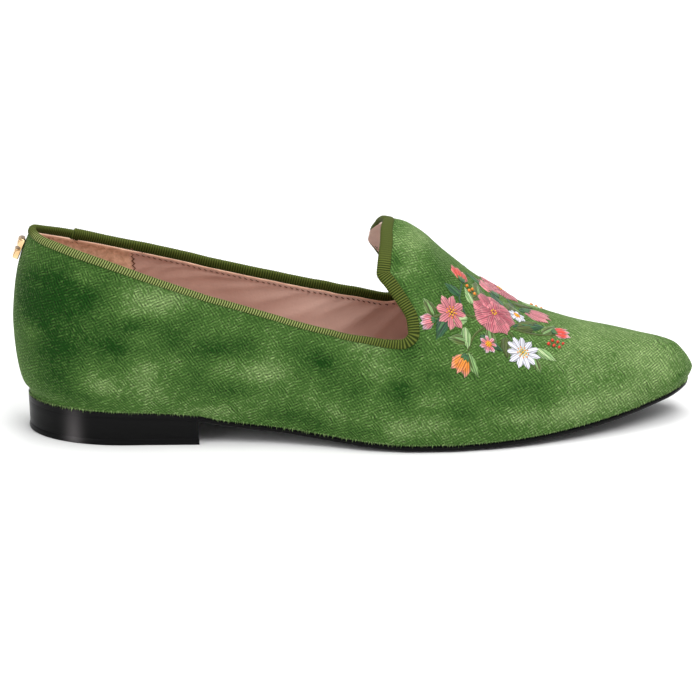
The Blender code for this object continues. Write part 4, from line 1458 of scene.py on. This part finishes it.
# %% Black edge dressing
HIGHLIGHT_X = 110.4 * MM
HIGHLIGHT_WIDTH = 3.1 * MM
HIGHLIGHT_TONE = (0.085, 0.078, 0.080)
black_stuff, tree, shader = new_material(
    "black_edge_dressing", Roughness=0.34, Specular_IOR_Level=0.08,
)
position = place_of(tree)
layers = noise(tree, scaled(tree, position, (160, 160, 1700)), 1.0, 4.0)
specks = use_group(tree, GRAIN, position, Grain_size=0.0016)
tone = mix_colour(tree, layers.outputs[0], (0.0015, 0.0015, 0.0016), (0.0045, 0.0045, 0.0047))
split = node(tree, "ShaderNodeSeparateXYZ")
tree.links.new(position, split.inputs[0])
# painted highlight: a soft grey band where the heel turns, stronger low down
away = math_node(tree, "DIVIDE", math_node(tree, "ADD", split.outputs[0], HIGHLIGHT_X), HIGHLIGHT_WIDTH)
painted_highlight = math_node(tree, "POWER", 2.718, math_node(tree, "MULTIPLY", math_node(
    tree, "MULTIPLY", away, away), -1.0))
lower = math_node(tree, "MULTIPLY_ADD", split.outputs[2], -45.0, 0.95)
painted_highlight = math_node(tree, "MULTIPLY", painted_highlight, lower)
tone = mix_colour(tree, painted_highlight, tone, HIGHLIGHT_TONE)
tree.links.new(tone, shader.inputs["Base Color"])
rough = math_node(tree, "MULTIPLY_ADD", layers.outputs[0], 0.16, 0.24)
tree.links.new(rough, shader.inputs["Roughness"])
height = math_node(tree, "MULTIPLY_ADD", specks.outputs[0], 0.4, layers.outputs[0])
bump(tree, shader, height, 0.05 * MM, 0.35)
for piece in (outsole, heel_block):
    piece.data.materials.append(black_stuff)
print(black_stuff.name, "has", len(tree.nodes), "nodes")

# %% [markdown]
# The top piece is a slab of black rubber. Only its underside stays bare: its sides are painted
# together with the heel.

# %% Rubber of the top piece
rubber_stuff, tree, shader = new_material("black_rubber", Roughness=0.5, Specular_IOR_Level=0.12)
position = place_of(tree)
fine = use_group(tree, GRAIN, position, Grain_size=0.0005)
tone = mix_colour(tree, fine.outputs[0], (0.003, 0.003, 0.003), (0.007, 0.007, 0.007))
tree.links.new(tone, shader.inputs["Base Color"])
bump(tree, shader, fine.outputs[0], 0.04 * MM, 0.4)
top_piece.data.materials.append(rubber_stuff)
top_piece.data.materials.append(black_stuff)
for polygon in top_piece.data.polygons:
    polygon.material_index = 0 if polygon.normal.z < -0.5 else 1
painted = sum(polygon.material_index for polygon in top_piece.data.polygons)
print("faces of the top piece that are painted:", painted)

# %% [markdown]
# ## The bar at the back
# A small bar of gold-coloured metal is riveted below the ribbon. It is a stepped outline pulled
# out sideways, with its edges rounded by a bevel so that they catch the light.

# %% Gold bar
STUD_HEIGHT = 8.4 * MM
STUD_WIDTH = 6 * MM
STUD_THICKNESS = 2.6 * MM
STUD_BELOW_TOPLINE = 4.9 * MM
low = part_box("heel_stud")[0]
gone_down = STUD_BELOW_TOPLINE + STUD_HEIGHT / 2
top_line = last(0.0, -(1 - BACK_TURN))
below = last(0.0, -(1 - BACK_TURN + 0.1))
up_way = unit(top_line - below)
out_way = np.cross([0, 1.0, 0], up_way) * -1
a, c = walk(np.array(0.0), np.array(-(1 - BACK_TURN)), -up_way, np.array(gone_down))
seat = last(np.array(0.0), c) + out_way * SEAM_GAP
half, thick = STUD_HEIGHT / 2, STUD_THICKNESS
profile = (
    (-half, 0), (-half, 0.9 * thick), (-half * 0.16, 0.9 * thick), (-half * 0.06, 0.35 * thick),
    (half * 0.14, 0.35 * thick), (half * 0.26, 0.95 * thick), (half * 0.8, thick),
    (half, 0.6 * thick), (half, 0),
)
verts = [
    seat + up_way * p + out_way * q + np.array([0, s * STUD_WIDTH / 2, 0])
    for s in (-1, 1)
    for p, q in profile
]
n = len(profile)
faces = [list(range(n)), list(range(2 * n - 1, n - 1, -1))]
faces += [(k, (k + 1) % n, n + (k + 1) % n, n + k) for k in range(n)]
stud = from_faces("gold_bar", verts, faces)
print("the bar's outline has", n, "corners")

# %% [markdown]
# The bevel rounds every edge. The recess and both ends are marked and take a darker tone, as
# painted shade.

# %% Round and gild the bar
face_out(stud)
apply(stud, "BEVEL", width=0.45 * MM, segments=4, limit_method="ANGLE")
along_bar = (points_of(stud) - seat) @ up_way / half
mark(stud, "painted_recess_shade", np.exp(-(((along_bar - 0.04) / 0.16) ** 2)) + 0.6 * (np.abs(along_bar) > 0.96))
bpy.ops.object.shade_smooth_by_angle(angle=math.radians(30))
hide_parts("heel_stud")
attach(stud, "root")
gold_stuff, tree, shader = new_material("gold_tone", Metallic=1.0, Roughness=0.16)
position = place_of(tree)
wear = use_group(tree, MOTTLE, position, Patch_size=0.004)
tone = mix_colour(tree, wear.outputs[0], (0.80, 0.52, 0.26), (0.93, 0.68, 0.40))
# painted shade in the recess and at both ends
tone = mix_colour(tree, marked(tree, "painted_recess_shade"), tone, (0.16, 0.07, 0.025))
tree.links.new(tone, shader.inputs["Base Color"])
rough = math_node(tree, "MULTIPLY_ADD", wear.outputs[0], 0.12, 0.12)
tree.links.new(rough, shader.inputs["Roughness"])
stud.data.materials.append(gold_stuff)
report(stud)
print("bar from", [round(v / MM, 1) for v in points_of(stud).min(0)], "solid from",
      [round(v / MM, 1) for v in low])

# %% [markdown]
# ## The embroidered spray
# The vamp carries a spray of flowers in satin stitch. It is a plain garden spray drawn for this
# lesson: a full rosette, a daisy, two bells, berries and leaves. Each petal is a small grid,
# rounded like a pillow, whose rim sinks into the velvet and frays a little, as hand-guided
# stitches do. The drawing is made flat, in mm from the middle of the spray towards the toe and
# towards the crest, and then laid over the vamp.

# %% The middle of the spray and the way over the vamp
SPRAY_AT, SPRAY_ACROSS = 0.706, -0.355
SINK = 0.15
velvet_tree = BVHTree.FromObject(velvet, bpy.context.evaluated_depsgraph_get())


def over_vamp(flat, steps=14):
    """at and across of flat places, walking along and over the shoe from the spray's middle."""
    at = np.full(len(flat), SPRAY_AT)
    across = np.full(len(flat), SPRAY_ACROSS)
    p, q = flat[:, 0] * MM / steps, flat[:, 1] * MM / steps
    for _ in range(steps):
        along, over = slopes_of(at, across)
        length = np.linalg.norm(along, axis=1)
        skew = (over * along).sum(1) / length
        width = np.sqrt((over**2).sum(1) - skew**2)
        at = at + (p - skew * q / width) / length
        across = across + q / width
    return at, across


def turned_by(angle, along, sideways):
    """Flat distances along and sideways of a direction as distances in p and q."""
    c, s = math.cos(angle), math.sin(angle)
    return np.stack([along * c - sideways * s, along * s + sideways * c], axis=-1)

# %% [markdown]
# All shapes of the spray end up in one mesh. Each adds its flat points, how high they stand, the
# way its threads run, its colours and its faces.

# %% Sew shapes onto the spray
sewn = {"flat": [], "high": [], "thread": [], "tone": [], "faces": [], "count": 0}
hand = np.random.default_rng(11)


def sew(flat, high, thread, tone, faces):
    """Add one shape to the spray."""
    sewn["flat"].append(flat)
    sewn["high"].append(high)
    sewn["thread"].append(thread)
    sewn["tone"].append(tone)
    sewn["faces"] += [[k + sewn["count"] for k in f] for f in faces]
    sewn["count"] += len(flat)


def net_faces(rows, cols):
    """Faces of a grid, and one face below that closes it round its rim."""
    faces = [
        (r * cols + c, (r + 1) * cols + c, (r + 1) * cols + c + 1, r * cols + c + 1)
        for r in range(rows - 1)
        for c in range(cols - 1)
    ]
    rim = [c for c in range(cols)] + [r * cols + cols - 1 for r in range(1, rows)]
    rim += [(rows - 1) * cols + c for c in range(cols - 2, -1, -1)]
    rim += [r * cols for r in range(rows - 2, 0, -1)]
    return faces + [rim]


print("the spray's middle is", (last(SPRAY_AT, SPRAY_ACROSS) / MM).round(1), "mm")

# %% [markdown]
# A petal is a grid of ten by seven points that is widest somewhere along its length. Its foot,
# middle and rim have their own colours, which mix along the threads with a little chance.

# %% Petals
def petal(x, y, turn, long, wide, tones, peak=0.6, blunt=0.7, high=0.5, low=0.0, bend=0.0,
          middle_at=0.42, rim_at=0.67):
    """A petal or leaf from (x, y) in the direction turn in degrees. tones are the colours of its
    foot, its middle and its rim, and peak is how far along it is widest."""
    t = np.linspace(0, 1, 10)[:, None]
    s = np.linspace(-1, 1, 7)[None, :]
    power = math.log(0.5) / math.log(peak)
    half = wide / 2 * np.clip(np.sin(math.pi * np.clip(t, 0.004, 0.996) ** power), 0, 1) ** blunt
    along = t * long * (1 - 0.12 * s**2 * t) + 0 * s
    along = along + 0.035 * long * t**3 * hand.normal(0, 1, (1, 7))
    frayed = 1 + 0.07 * np.abs(s) * hand.normal(0, 1, (10, 7))
    sideways = half * s * frayed + bend * long * t**2
    flat = turned_by(math.radians(turn), along, sideways).reshape(-1, 2) + (x, y)
    dome = np.sqrt(np.clip(1 - s**2, 0, 1)) * np.sin(math.pi * np.clip(t, 0.0, 1.0)) ** 0.4
    heights = np.where(dome > 0.02, 0.7 * low + 0.08 + 0.75 * high * dome, -SINK)
    foot, middle, rim = (np.array(tone) for tone in tones)
    far = np.maximum((t - rim_at) * 2.6, 2.2 * np.abs(s) - 1.35 + 0 * t)
    far = np.clip(far + 0.12 * hand.normal(0, 1, (10, 7)), 0, 1)[..., None]
    near = np.clip(t / middle_at, 0, 1)[..., None] + 0 * far
    tone = (foot * (1 - near) + middle * near) * (1 - far) + rim * far
    tone = tone * hand.uniform(0.84, 1.12)
    thread = np.stack([sideways + 0 * t, along], axis=-1).reshape(-1, 2)
    sew(flat, heights.ravel(), thread, tone.reshape(-1, 3), net_faces(10, 7))

# %% Knots and stems
def knot(x, y, size, tone, high=0.7):
    """A knot of thread, a small dome."""
    ring = np.arange(6) * math.pi / 3
    flat, heights = [(x, y)], [high]
    for spread, share in ((0.62, 0.8), (1.0, -0.2)):
        reach = size / 2 * spread
        flat += [(x + reach * math.cos(a), y + reach * math.sin(a)) for a in ring]
        heights += [high * share] * 6
    faces = [(0, 1 + k, 1 + (k + 1) % 6) for k in range(6)]
    faces += [(1 + k, 7 + k, 7 + (k + 1) % 6, 1 + (k + 1) % 6) for k in range(6)]
    faces.append([12 - k for k in range(6)])
    flat = np.array(flat)
    sew(flat, np.array(heights), (flat - (x, y)) * 0.6, np.tile(tone, (13, 1)), faces)


def stem(points, wide, tone):
    """A line of stem stitch through flat points."""
    points = np.array(points, float)
    reach = np.concatenate([[0], np.cumsum(np.linalg.norm(np.diff(points, axis=0), axis=1))])
    way = np.linspace(0, reach[-1], max(4, int(reach[-1] / 1.2)))
    line = np.stack([curve(reach, points[:, k])(way) for k in (0, 1)], axis=-1)
    ahead = unit(np.gradient(line, axis=0))
    beside = np.stack([-ahead[:, 1], ahead[:, 0]], axis=-1)
    s = np.linspace(-1, 1, 5)
    flat = line[:, None] + beside[:, None] * (s * wide / 2)[None, :, None]
    heights = np.where(np.abs(s) < 0.99, 0.04 + 0.2 * np.sqrt(np.clip(1 - s**2, 0, 1)), -SINK)
    heights = np.repeat(heights[None], len(way), axis=0)
    heights[[0, -1]] = -SINK
    thread = np.stack(np.broadcast_arrays(s * wide / 2 + 0 * way[:, None], way[:, None]), axis=-1)
    n = len(way)
    sew(flat.reshape(-1, 2), heights.ravel(), thread.reshape(-1, 2), np.tile(tone, (n * 5, 1)),
        net_faces(n, 5))

# %% Colours of the threads
PALE_PINK, ROSE, DEEP_ROSE = (0.78, 0.38, 0.36), (0.58, 0.17, 0.20), (0.40, 0.065, 0.10)
SNOW, PALE_GREEN = (0.74, 0.74, 0.82), (0.46, 0.58, 0.30)
GOLDEN, ORANGE, CORAL = (0.80, 0.42, 0.01), (0.80, 0.24, 0.02), (0.70, 0.05, 0.025)
LIGHT_LEAF, OLIVE, DARK_LEAF = (0.20, 0.36, 0.12), (0.070, 0.105, 0.014), (0.012, 0.070, 0.028)
BRIGHT_LEAF = (0.045, 0.16, 0.045)

# %% Flowers of the spray
def rosette(x, y, radius, turn=0):
    """A full flower of three rings of round petals, each ring darker where the next covers it."""
    tones = (DEEP_ROSE, ROSE, PALE_PINK)
    rings = ((0, 8, 1.0, 0.86, 0.0), (1, 6, 0.68, 0.64, 0.2), (2, 4, 0.40, 0.40, 0.4))
    for ring, count, reach, width, low in rings:
        for k in range(count):
            way = turn + ring * 22 + 360 * k / count
            petal(x, y, way, radius * reach, radius * width, tones, 0.74, 0.5, 0.5,
                  low=low + 0.14 * (k % 2), middle_at=1.0 - 0.1 * ring, rim_at=0.80)
            petal(x, y, way, radius * reach * 0.86, radius * 0.11, (DEEP_ROSE, DEEP_ROSE, ROSE),
                  0.5, 0.8, 0.25, low=low + 0.42, middle_at=0.5, rim_at=0.8)
    for k in range(6):
        a = math.radians(turn + 60 * k)
        knot(x + 0.10 * radius * math.cos(a), y + 0.10 * radius * math.sin(a), 1.1, GOLDEN, 1.15)


def daisy(x, y, radius, petals=11, turn=0, tones=(PALE_GREEN, SNOW, SNOW)):
    """A ring of narrow petals round a heap of knots."""
    for k in range(petals):
        a = turn + 360 * k / petals
        petal(x, y, a, radius, radius * 4.6 / petals, tones, 0.66, 0.7, 0.5, low=0.12 * (k % 2))
    for ring, count in ((0.0, 1), (0.17, 6), (0.30, 9)):
        for k in range(count):
            a = math.radians(turn + 360 * k / count)
            knot(x + ring * radius * math.cos(a), y + ring * radius * math.sin(a), 1.05,
                 GOLDEN if ring < 0.25 else ORANGE, 0.95 - ring)


def bell(x, y, turn, long, tones):
    """A hanging bell of three petals with a green cup."""
    for spread in (-26, 26, 0):
        petal(x, y, turn + spread, long, long * 0.52, tones,
              0.6, 0.75, 0.4, low=0.2 * (spread == 0), bend=-0.004 * spread)
    for spread in (-30, 0, 30):
        petal(x, y, turn + spread, long * 0.38, long * 0.2, (DARK_LEAF, BRIGHT_LEAF, OLIVE),
              0.4, 0.8, 0.3, low=0.45)


def leaf(x, y, turn, long, wide, dark, light, bend=0.0):
    """Two halves of satin stitch along a midrib."""
    petal(x, y, turn + 4, long, wide, (dark, dark, light), 0.42, 0.85, 0.35, bend=bend)
    petal(x, y, turn, long * 0.86, wide * 0.30, (light, light, dark), 0.40, 0.9, 0.25, low=0.22,
          bend=bend)


def berries(x, y, turn, count, tone):
    """Berries in two rows along a thin stem."""
    way = np.array((math.cos(math.radians(turn)), math.sin(math.radians(turn))))
    side_way = np.array((-way[1], way[0]))
    stem([(x, y), (x + way[0] * count, y + way[1] * count)], 0.7, OLIVE)
    for k in range(count):
        spot = np.array((x, y)) + way * (1.2 + k * 1.15) + side_way * (1.3 if k % 2 else -1.3)
        knot(*spot, 1.9 - 0.08 * k, tone, 0.85)

# %% Draw the spray
stem([(-26, -14), (-18, -8), (-6, -3), (6, -1), (17, 1), (27, 4)], 1.2, OLIVE)
stem([(-13, -6), (-18, 1), (-18, 8)], 1.0, DARK_LEAF)
stem([(-4, -5), (-8, -12), (-9, -19)], 1.0, OLIVE)
stem([(7, 0), (12, 7), (10, 16)], 1.1, DARK_LEAF)
stem([(10, 16), (6, 26), (7, 36)], 1.1, DARK_LEAF)
stem([(4, -1), (9, -6), (12, -9)], 1.0, OLIVE)
for x, y, turn, long, wide, dark, light in (
    (-25, -13, 138, 8, 4.8, OLIVE, LIGHT_LEAF),
    (-20, -10, 252, 11, 5.6, DARK_LEAF, BRIGHT_LEAF),
    (-12, -6, 214, 9, 4.8, LIGHT_LEAF, PALE_GREEN),
    (-12, -10, 282, 9, 4.6, LIGHT_LEAF, PALE_GREEN),
    (-9, -19, 296, 10, 4.6, LIGHT_LEAF, OLIVE),
    (-9, -15, 186, 9, 4.8, OLIVE, LIGHT_LEAF),
    (-6, -10, 332, 11, 5.4, DARK_LEAF, BRIGHT_LEAF),
    (-3, -6, 286, 9, 5.0, OLIVE, LIGHT_LEAF),
    (-17, 1, 168, 9, 4.6, DARK_LEAF, BRIGHT_LEAF),
    (-12, 2, 52, 13, 7.4, OLIVE, OLIVE),
    (-9, 7, 100, 12, 6.4, OLIVE, LIGHT_LEAF),
    (-11, 1, 140, 8, 4.4, LIGHT_LEAF, PALE_GREEN),
    (5, -6, 268, 10, 5.8, OLIVE, OLIVE),
    (18, -6, 318, 10, 5.0, LIGHT_LEAF, PALE_GREEN),
    (17, -11, 286, 8, 4.2, OLIVE, LIGHT_LEAF),
    (20, 2, 44, 11, 6.0, OLIVE, LIGHT_LEAF),
    (9, 0, 36, 14, 8.0, OLIVE, OLIVE),
    (10, 4, 8, 13, 6.4, DARK_LEAF, BRIGHT_LEAF),
    (6, 9, 72, 12, 7.0, OLIVE, OLIVE),
    (3, 10, 118, 11, 6.0, DARK_LEAF, BRIGHT_LEAF),
    (12, 14, 158, 10, 5.0, OLIVE, LIGHT_LEAF),
    (11, 16, 38, 11, 5.4, DARK_LEAF, BRIGHT_LEAF),
    (8, 22, 12, 11, 5.2, OLIVE, OLIVE),
    (-6, 21, 172, 10, 4.8, BRIGHT_LEAF, DARK_LEAF),
    (13, 32, 350, 11, 5.4, LIGHT_LEAF, PALE_GREEN),
    (6, 42, 98, 11, 5.2, OLIVE, LIGHT_LEAF),
    (1, 42, 146, 10, 5.0, DARK_LEAF, BRIGHT_LEAF),
    (11, 42, 52, 10, 4.8, OLIVE, OLIVE),
):
    leaf(x, y, turn, long, wide, dark, light, bend=0.12 if turn % 20 else -0.12)
bell(-18, 8, 104, 10.5, (ORANGE, CORAL, PALE_PINK))
bell(-24, -14, 214, 6.5, (ORANGE, ROSE, SNOW))
bell(-9, -20, 258, 8.5, (GOLDEN, ORANGE, PALE_PINK))
bell(24, 5, 14, 9.0, (CORAL, CORAL, SNOW))
bell(1, 17, 132, 13.0, (DEEP_ROSE, ROSE, PALE_PINK))
bell(12, 19, 350, 14.0, (ROSE, ROSE, PALE_PINK))
berries(22, -1, 350, 6, CORAL)
berries(-12, 5, 122, 4, ORANGE)
berries(17, 40, 14, 6, ORANGE)
daisy(12.5, -10.5, 7.8)
daisy(-19, -8, 7.0, 8, 15, (DEEP_ROSE, ROSE, PALE_PINK))
daisy(9, 9, 4.4, 7, 30, (GOLDEN, SNOW, SNOW))
daisy(-2, -12.5, 3.8, 7, 10, (DEEP_ROSE, ROSE, SNOW))
rosette(-2, 2.5, 10.4)
rosette(3, 33, 9.6, 20)
daisy(-13, 44, 6.0, 9, 5)
bell(-9, 46, 128, 9.0, (ORANGE, CORAL, PALE_PINK))
print("the spray has", sewn["count"], "points")

# %% Lay the spray on the velvet
flat = np.concatenate(sewn["flat"])
high = np.concatenate(sewn["high"])
at, across = over_vamp(flat)
skin, out = last(at, across), outwards(at, across)
seats = np.array([velvet_tree.find_nearest(Vector(p))[0] for p in skin])
spray = from_faces("embroidered_spray", seats + out * (high * MM)[:, None], sewn["faces"],
                   np.concatenate(sewn["thread"]) * MM)
tones = np.concatenate(sewn["tone"])
layer = spray.data.attributes.new("thread_tone", "FLOAT_COLOR", "POINT")
tones = np.concatenate([tones, np.ones((len(tones), 1))], axis=1)
layer.data.foreach_set("color", tones.astype(np.float32).ravel())
face_out(spray)
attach(spray, "root")
report(spray)

# %% [markdown]
# Satin stitch shines along its threads. A wave across them makes the furrows, which are also
# painted darker as shade, and each thread gets its own lightness from white noise.

# %% Satin thread
satin_stuff, tree, shader = new_material(
    "satin_thread", Roughness=0.45, Specular_IOR_Level=0.35, Sheen_Weight=0.1,
)
uv_node = node(tree, "ShaderNodeUVMap", uv_map="along_surface")
split = node(tree, "ShaderNodeSeparateXYZ")
tree.links.new(uv_node.outputs[0], split.inputs[0])
slow = noise(tree, scaled(tree, uv_node.outputs[0], (500, 300, 1)), 1.0, 2.0)
phase = math_node(tree, "MULTIPLY_ADD", slow.outputs[0], 4.0, math_node(
    tree, "MULTIPLY", split.outputs[0], 2 * math.pi / (0.78 * MM)))
threads = math_node(tree, "MULTIPLY_ADD", math_node(tree, "COSINE", phase), 0.5, 0.5)
one_thread = node(tree, "ShaderNodeTexWhiteNoise", noise_dimensions="1D")
turn_count = math_node(tree, "FLOOR", math_node(tree, "DIVIDE", phase, 2 * math.pi))
tree.links.new(turn_count, one_thread.inputs["W"])
tone_node = node(tree, "ShaderNodeAttribute", attribute_name="thread_tone")
# painted shade: the colour is darkened in the furrows between the threads
shade = math_node(tree, "MULTIPLY_ADD", threads, 0.62, 0.26)
shade = math_node(tree, "MULTIPLY_ADD", one_thread.outputs["Value"], 0.50, shade)
tree.links.new(shaded(tree, tone_node.outputs["Color"], shade), shader.inputs["Base Color"])
bump(tree, shader, threads, 0.12 * MM, 0.7)
spray.data.materials.append(satin_stuff)
print(satin_stuff.name, "has", len(tree.nodes), "nodes")

# %% [markdown]
# ## Floor, light and camera
# The photo was taken on white with large soft lights and a long lens, so perspective is slight.
# The camera looks across the outer side from a little above and a little behind.

# %% Camera
ELEVATION = math.radians(17.5)
YAW = math.radians(3.0)
DISTANCE = 2.2
PIXELS_PER_METRE = 2559
look = Vector((
    math.sin(YAW) * math.cos(ELEVATION), math.cos(YAW) * math.cos(ELEVATION), -math.sin(ELEVATION)
))
right = Vector((math.cos(YAW), -math.sin(YAW), 0))
top = right.cross(look)
aim = Vector((0.1309 - CENTRE_X, -CENTRE_Y, 0.040)) + right * 0.0006 - top * 0.01075
bpy.ops.object.camera_add()
camera = bpy.context.object
camera.matrix_world = Matrix((
    (right.x, top.x, -look.x, aim.x - look.x * DISTANCE),
    (right.y, top.y, -look.y, aim.y - look.y * DISTANCE),
    (right.z, top.z, -look.z, aim.z - look.z * DISTANCE),
    (0, 0, 0, 1),
))
camera.data.sensor_width = 36
camera.data.lens = PIXELS_PER_METRE * DISTANCE / 700 * 36
bpy.context.scene.camera = camera
print("lens", round(camera.data.lens), "mm")

# %% Floor and lights
bpy.ops.mesh.primitive_plane_add(size=30)
floor = bpy.context.object
floor.name = "floor"
floor_stuff, tree, shader = new_material("pale_floor", Roughness=0.9, Base_Color=(0.9, 0.9, 0.9))
floor.data.materials.append(floor_stuff)

world = bpy.data.worlds.new("studio")
bpy.context.scene.world = world
world.use_nodes = True
world.node_tree.nodes["Background"].inputs[0].default_value = (1, 1, 1, 1)
world.node_tree.nodes["Background"].inputs[1].default_value = 0.6


def soft_light(name, place, size, power):
    """A square lamp that faces the shoe."""
    bpy.ops.object.light_add(type="AREA", location=place)
    lamp = bpy.context.object
    lamp.name = name
    lamp.data.size = size
    lamp.data.energy = power
    lamp.rotation_euler = (Vector((0, 0, 0.03)) - Vector(place)).to_track_quat("-Z", "Y").to_euler()
    return lamp


soft_light("key", (0.4, -0.9, 1.3), 0.9, 15)
soft_light("fill", (-1.1, -0.9, 0.7), 0.8, 5)
soft_light("top", (0.1, 0.3, 1.4), 1.0, 14)
bpy.context.scene.view_settings.view_transform = "Standard"
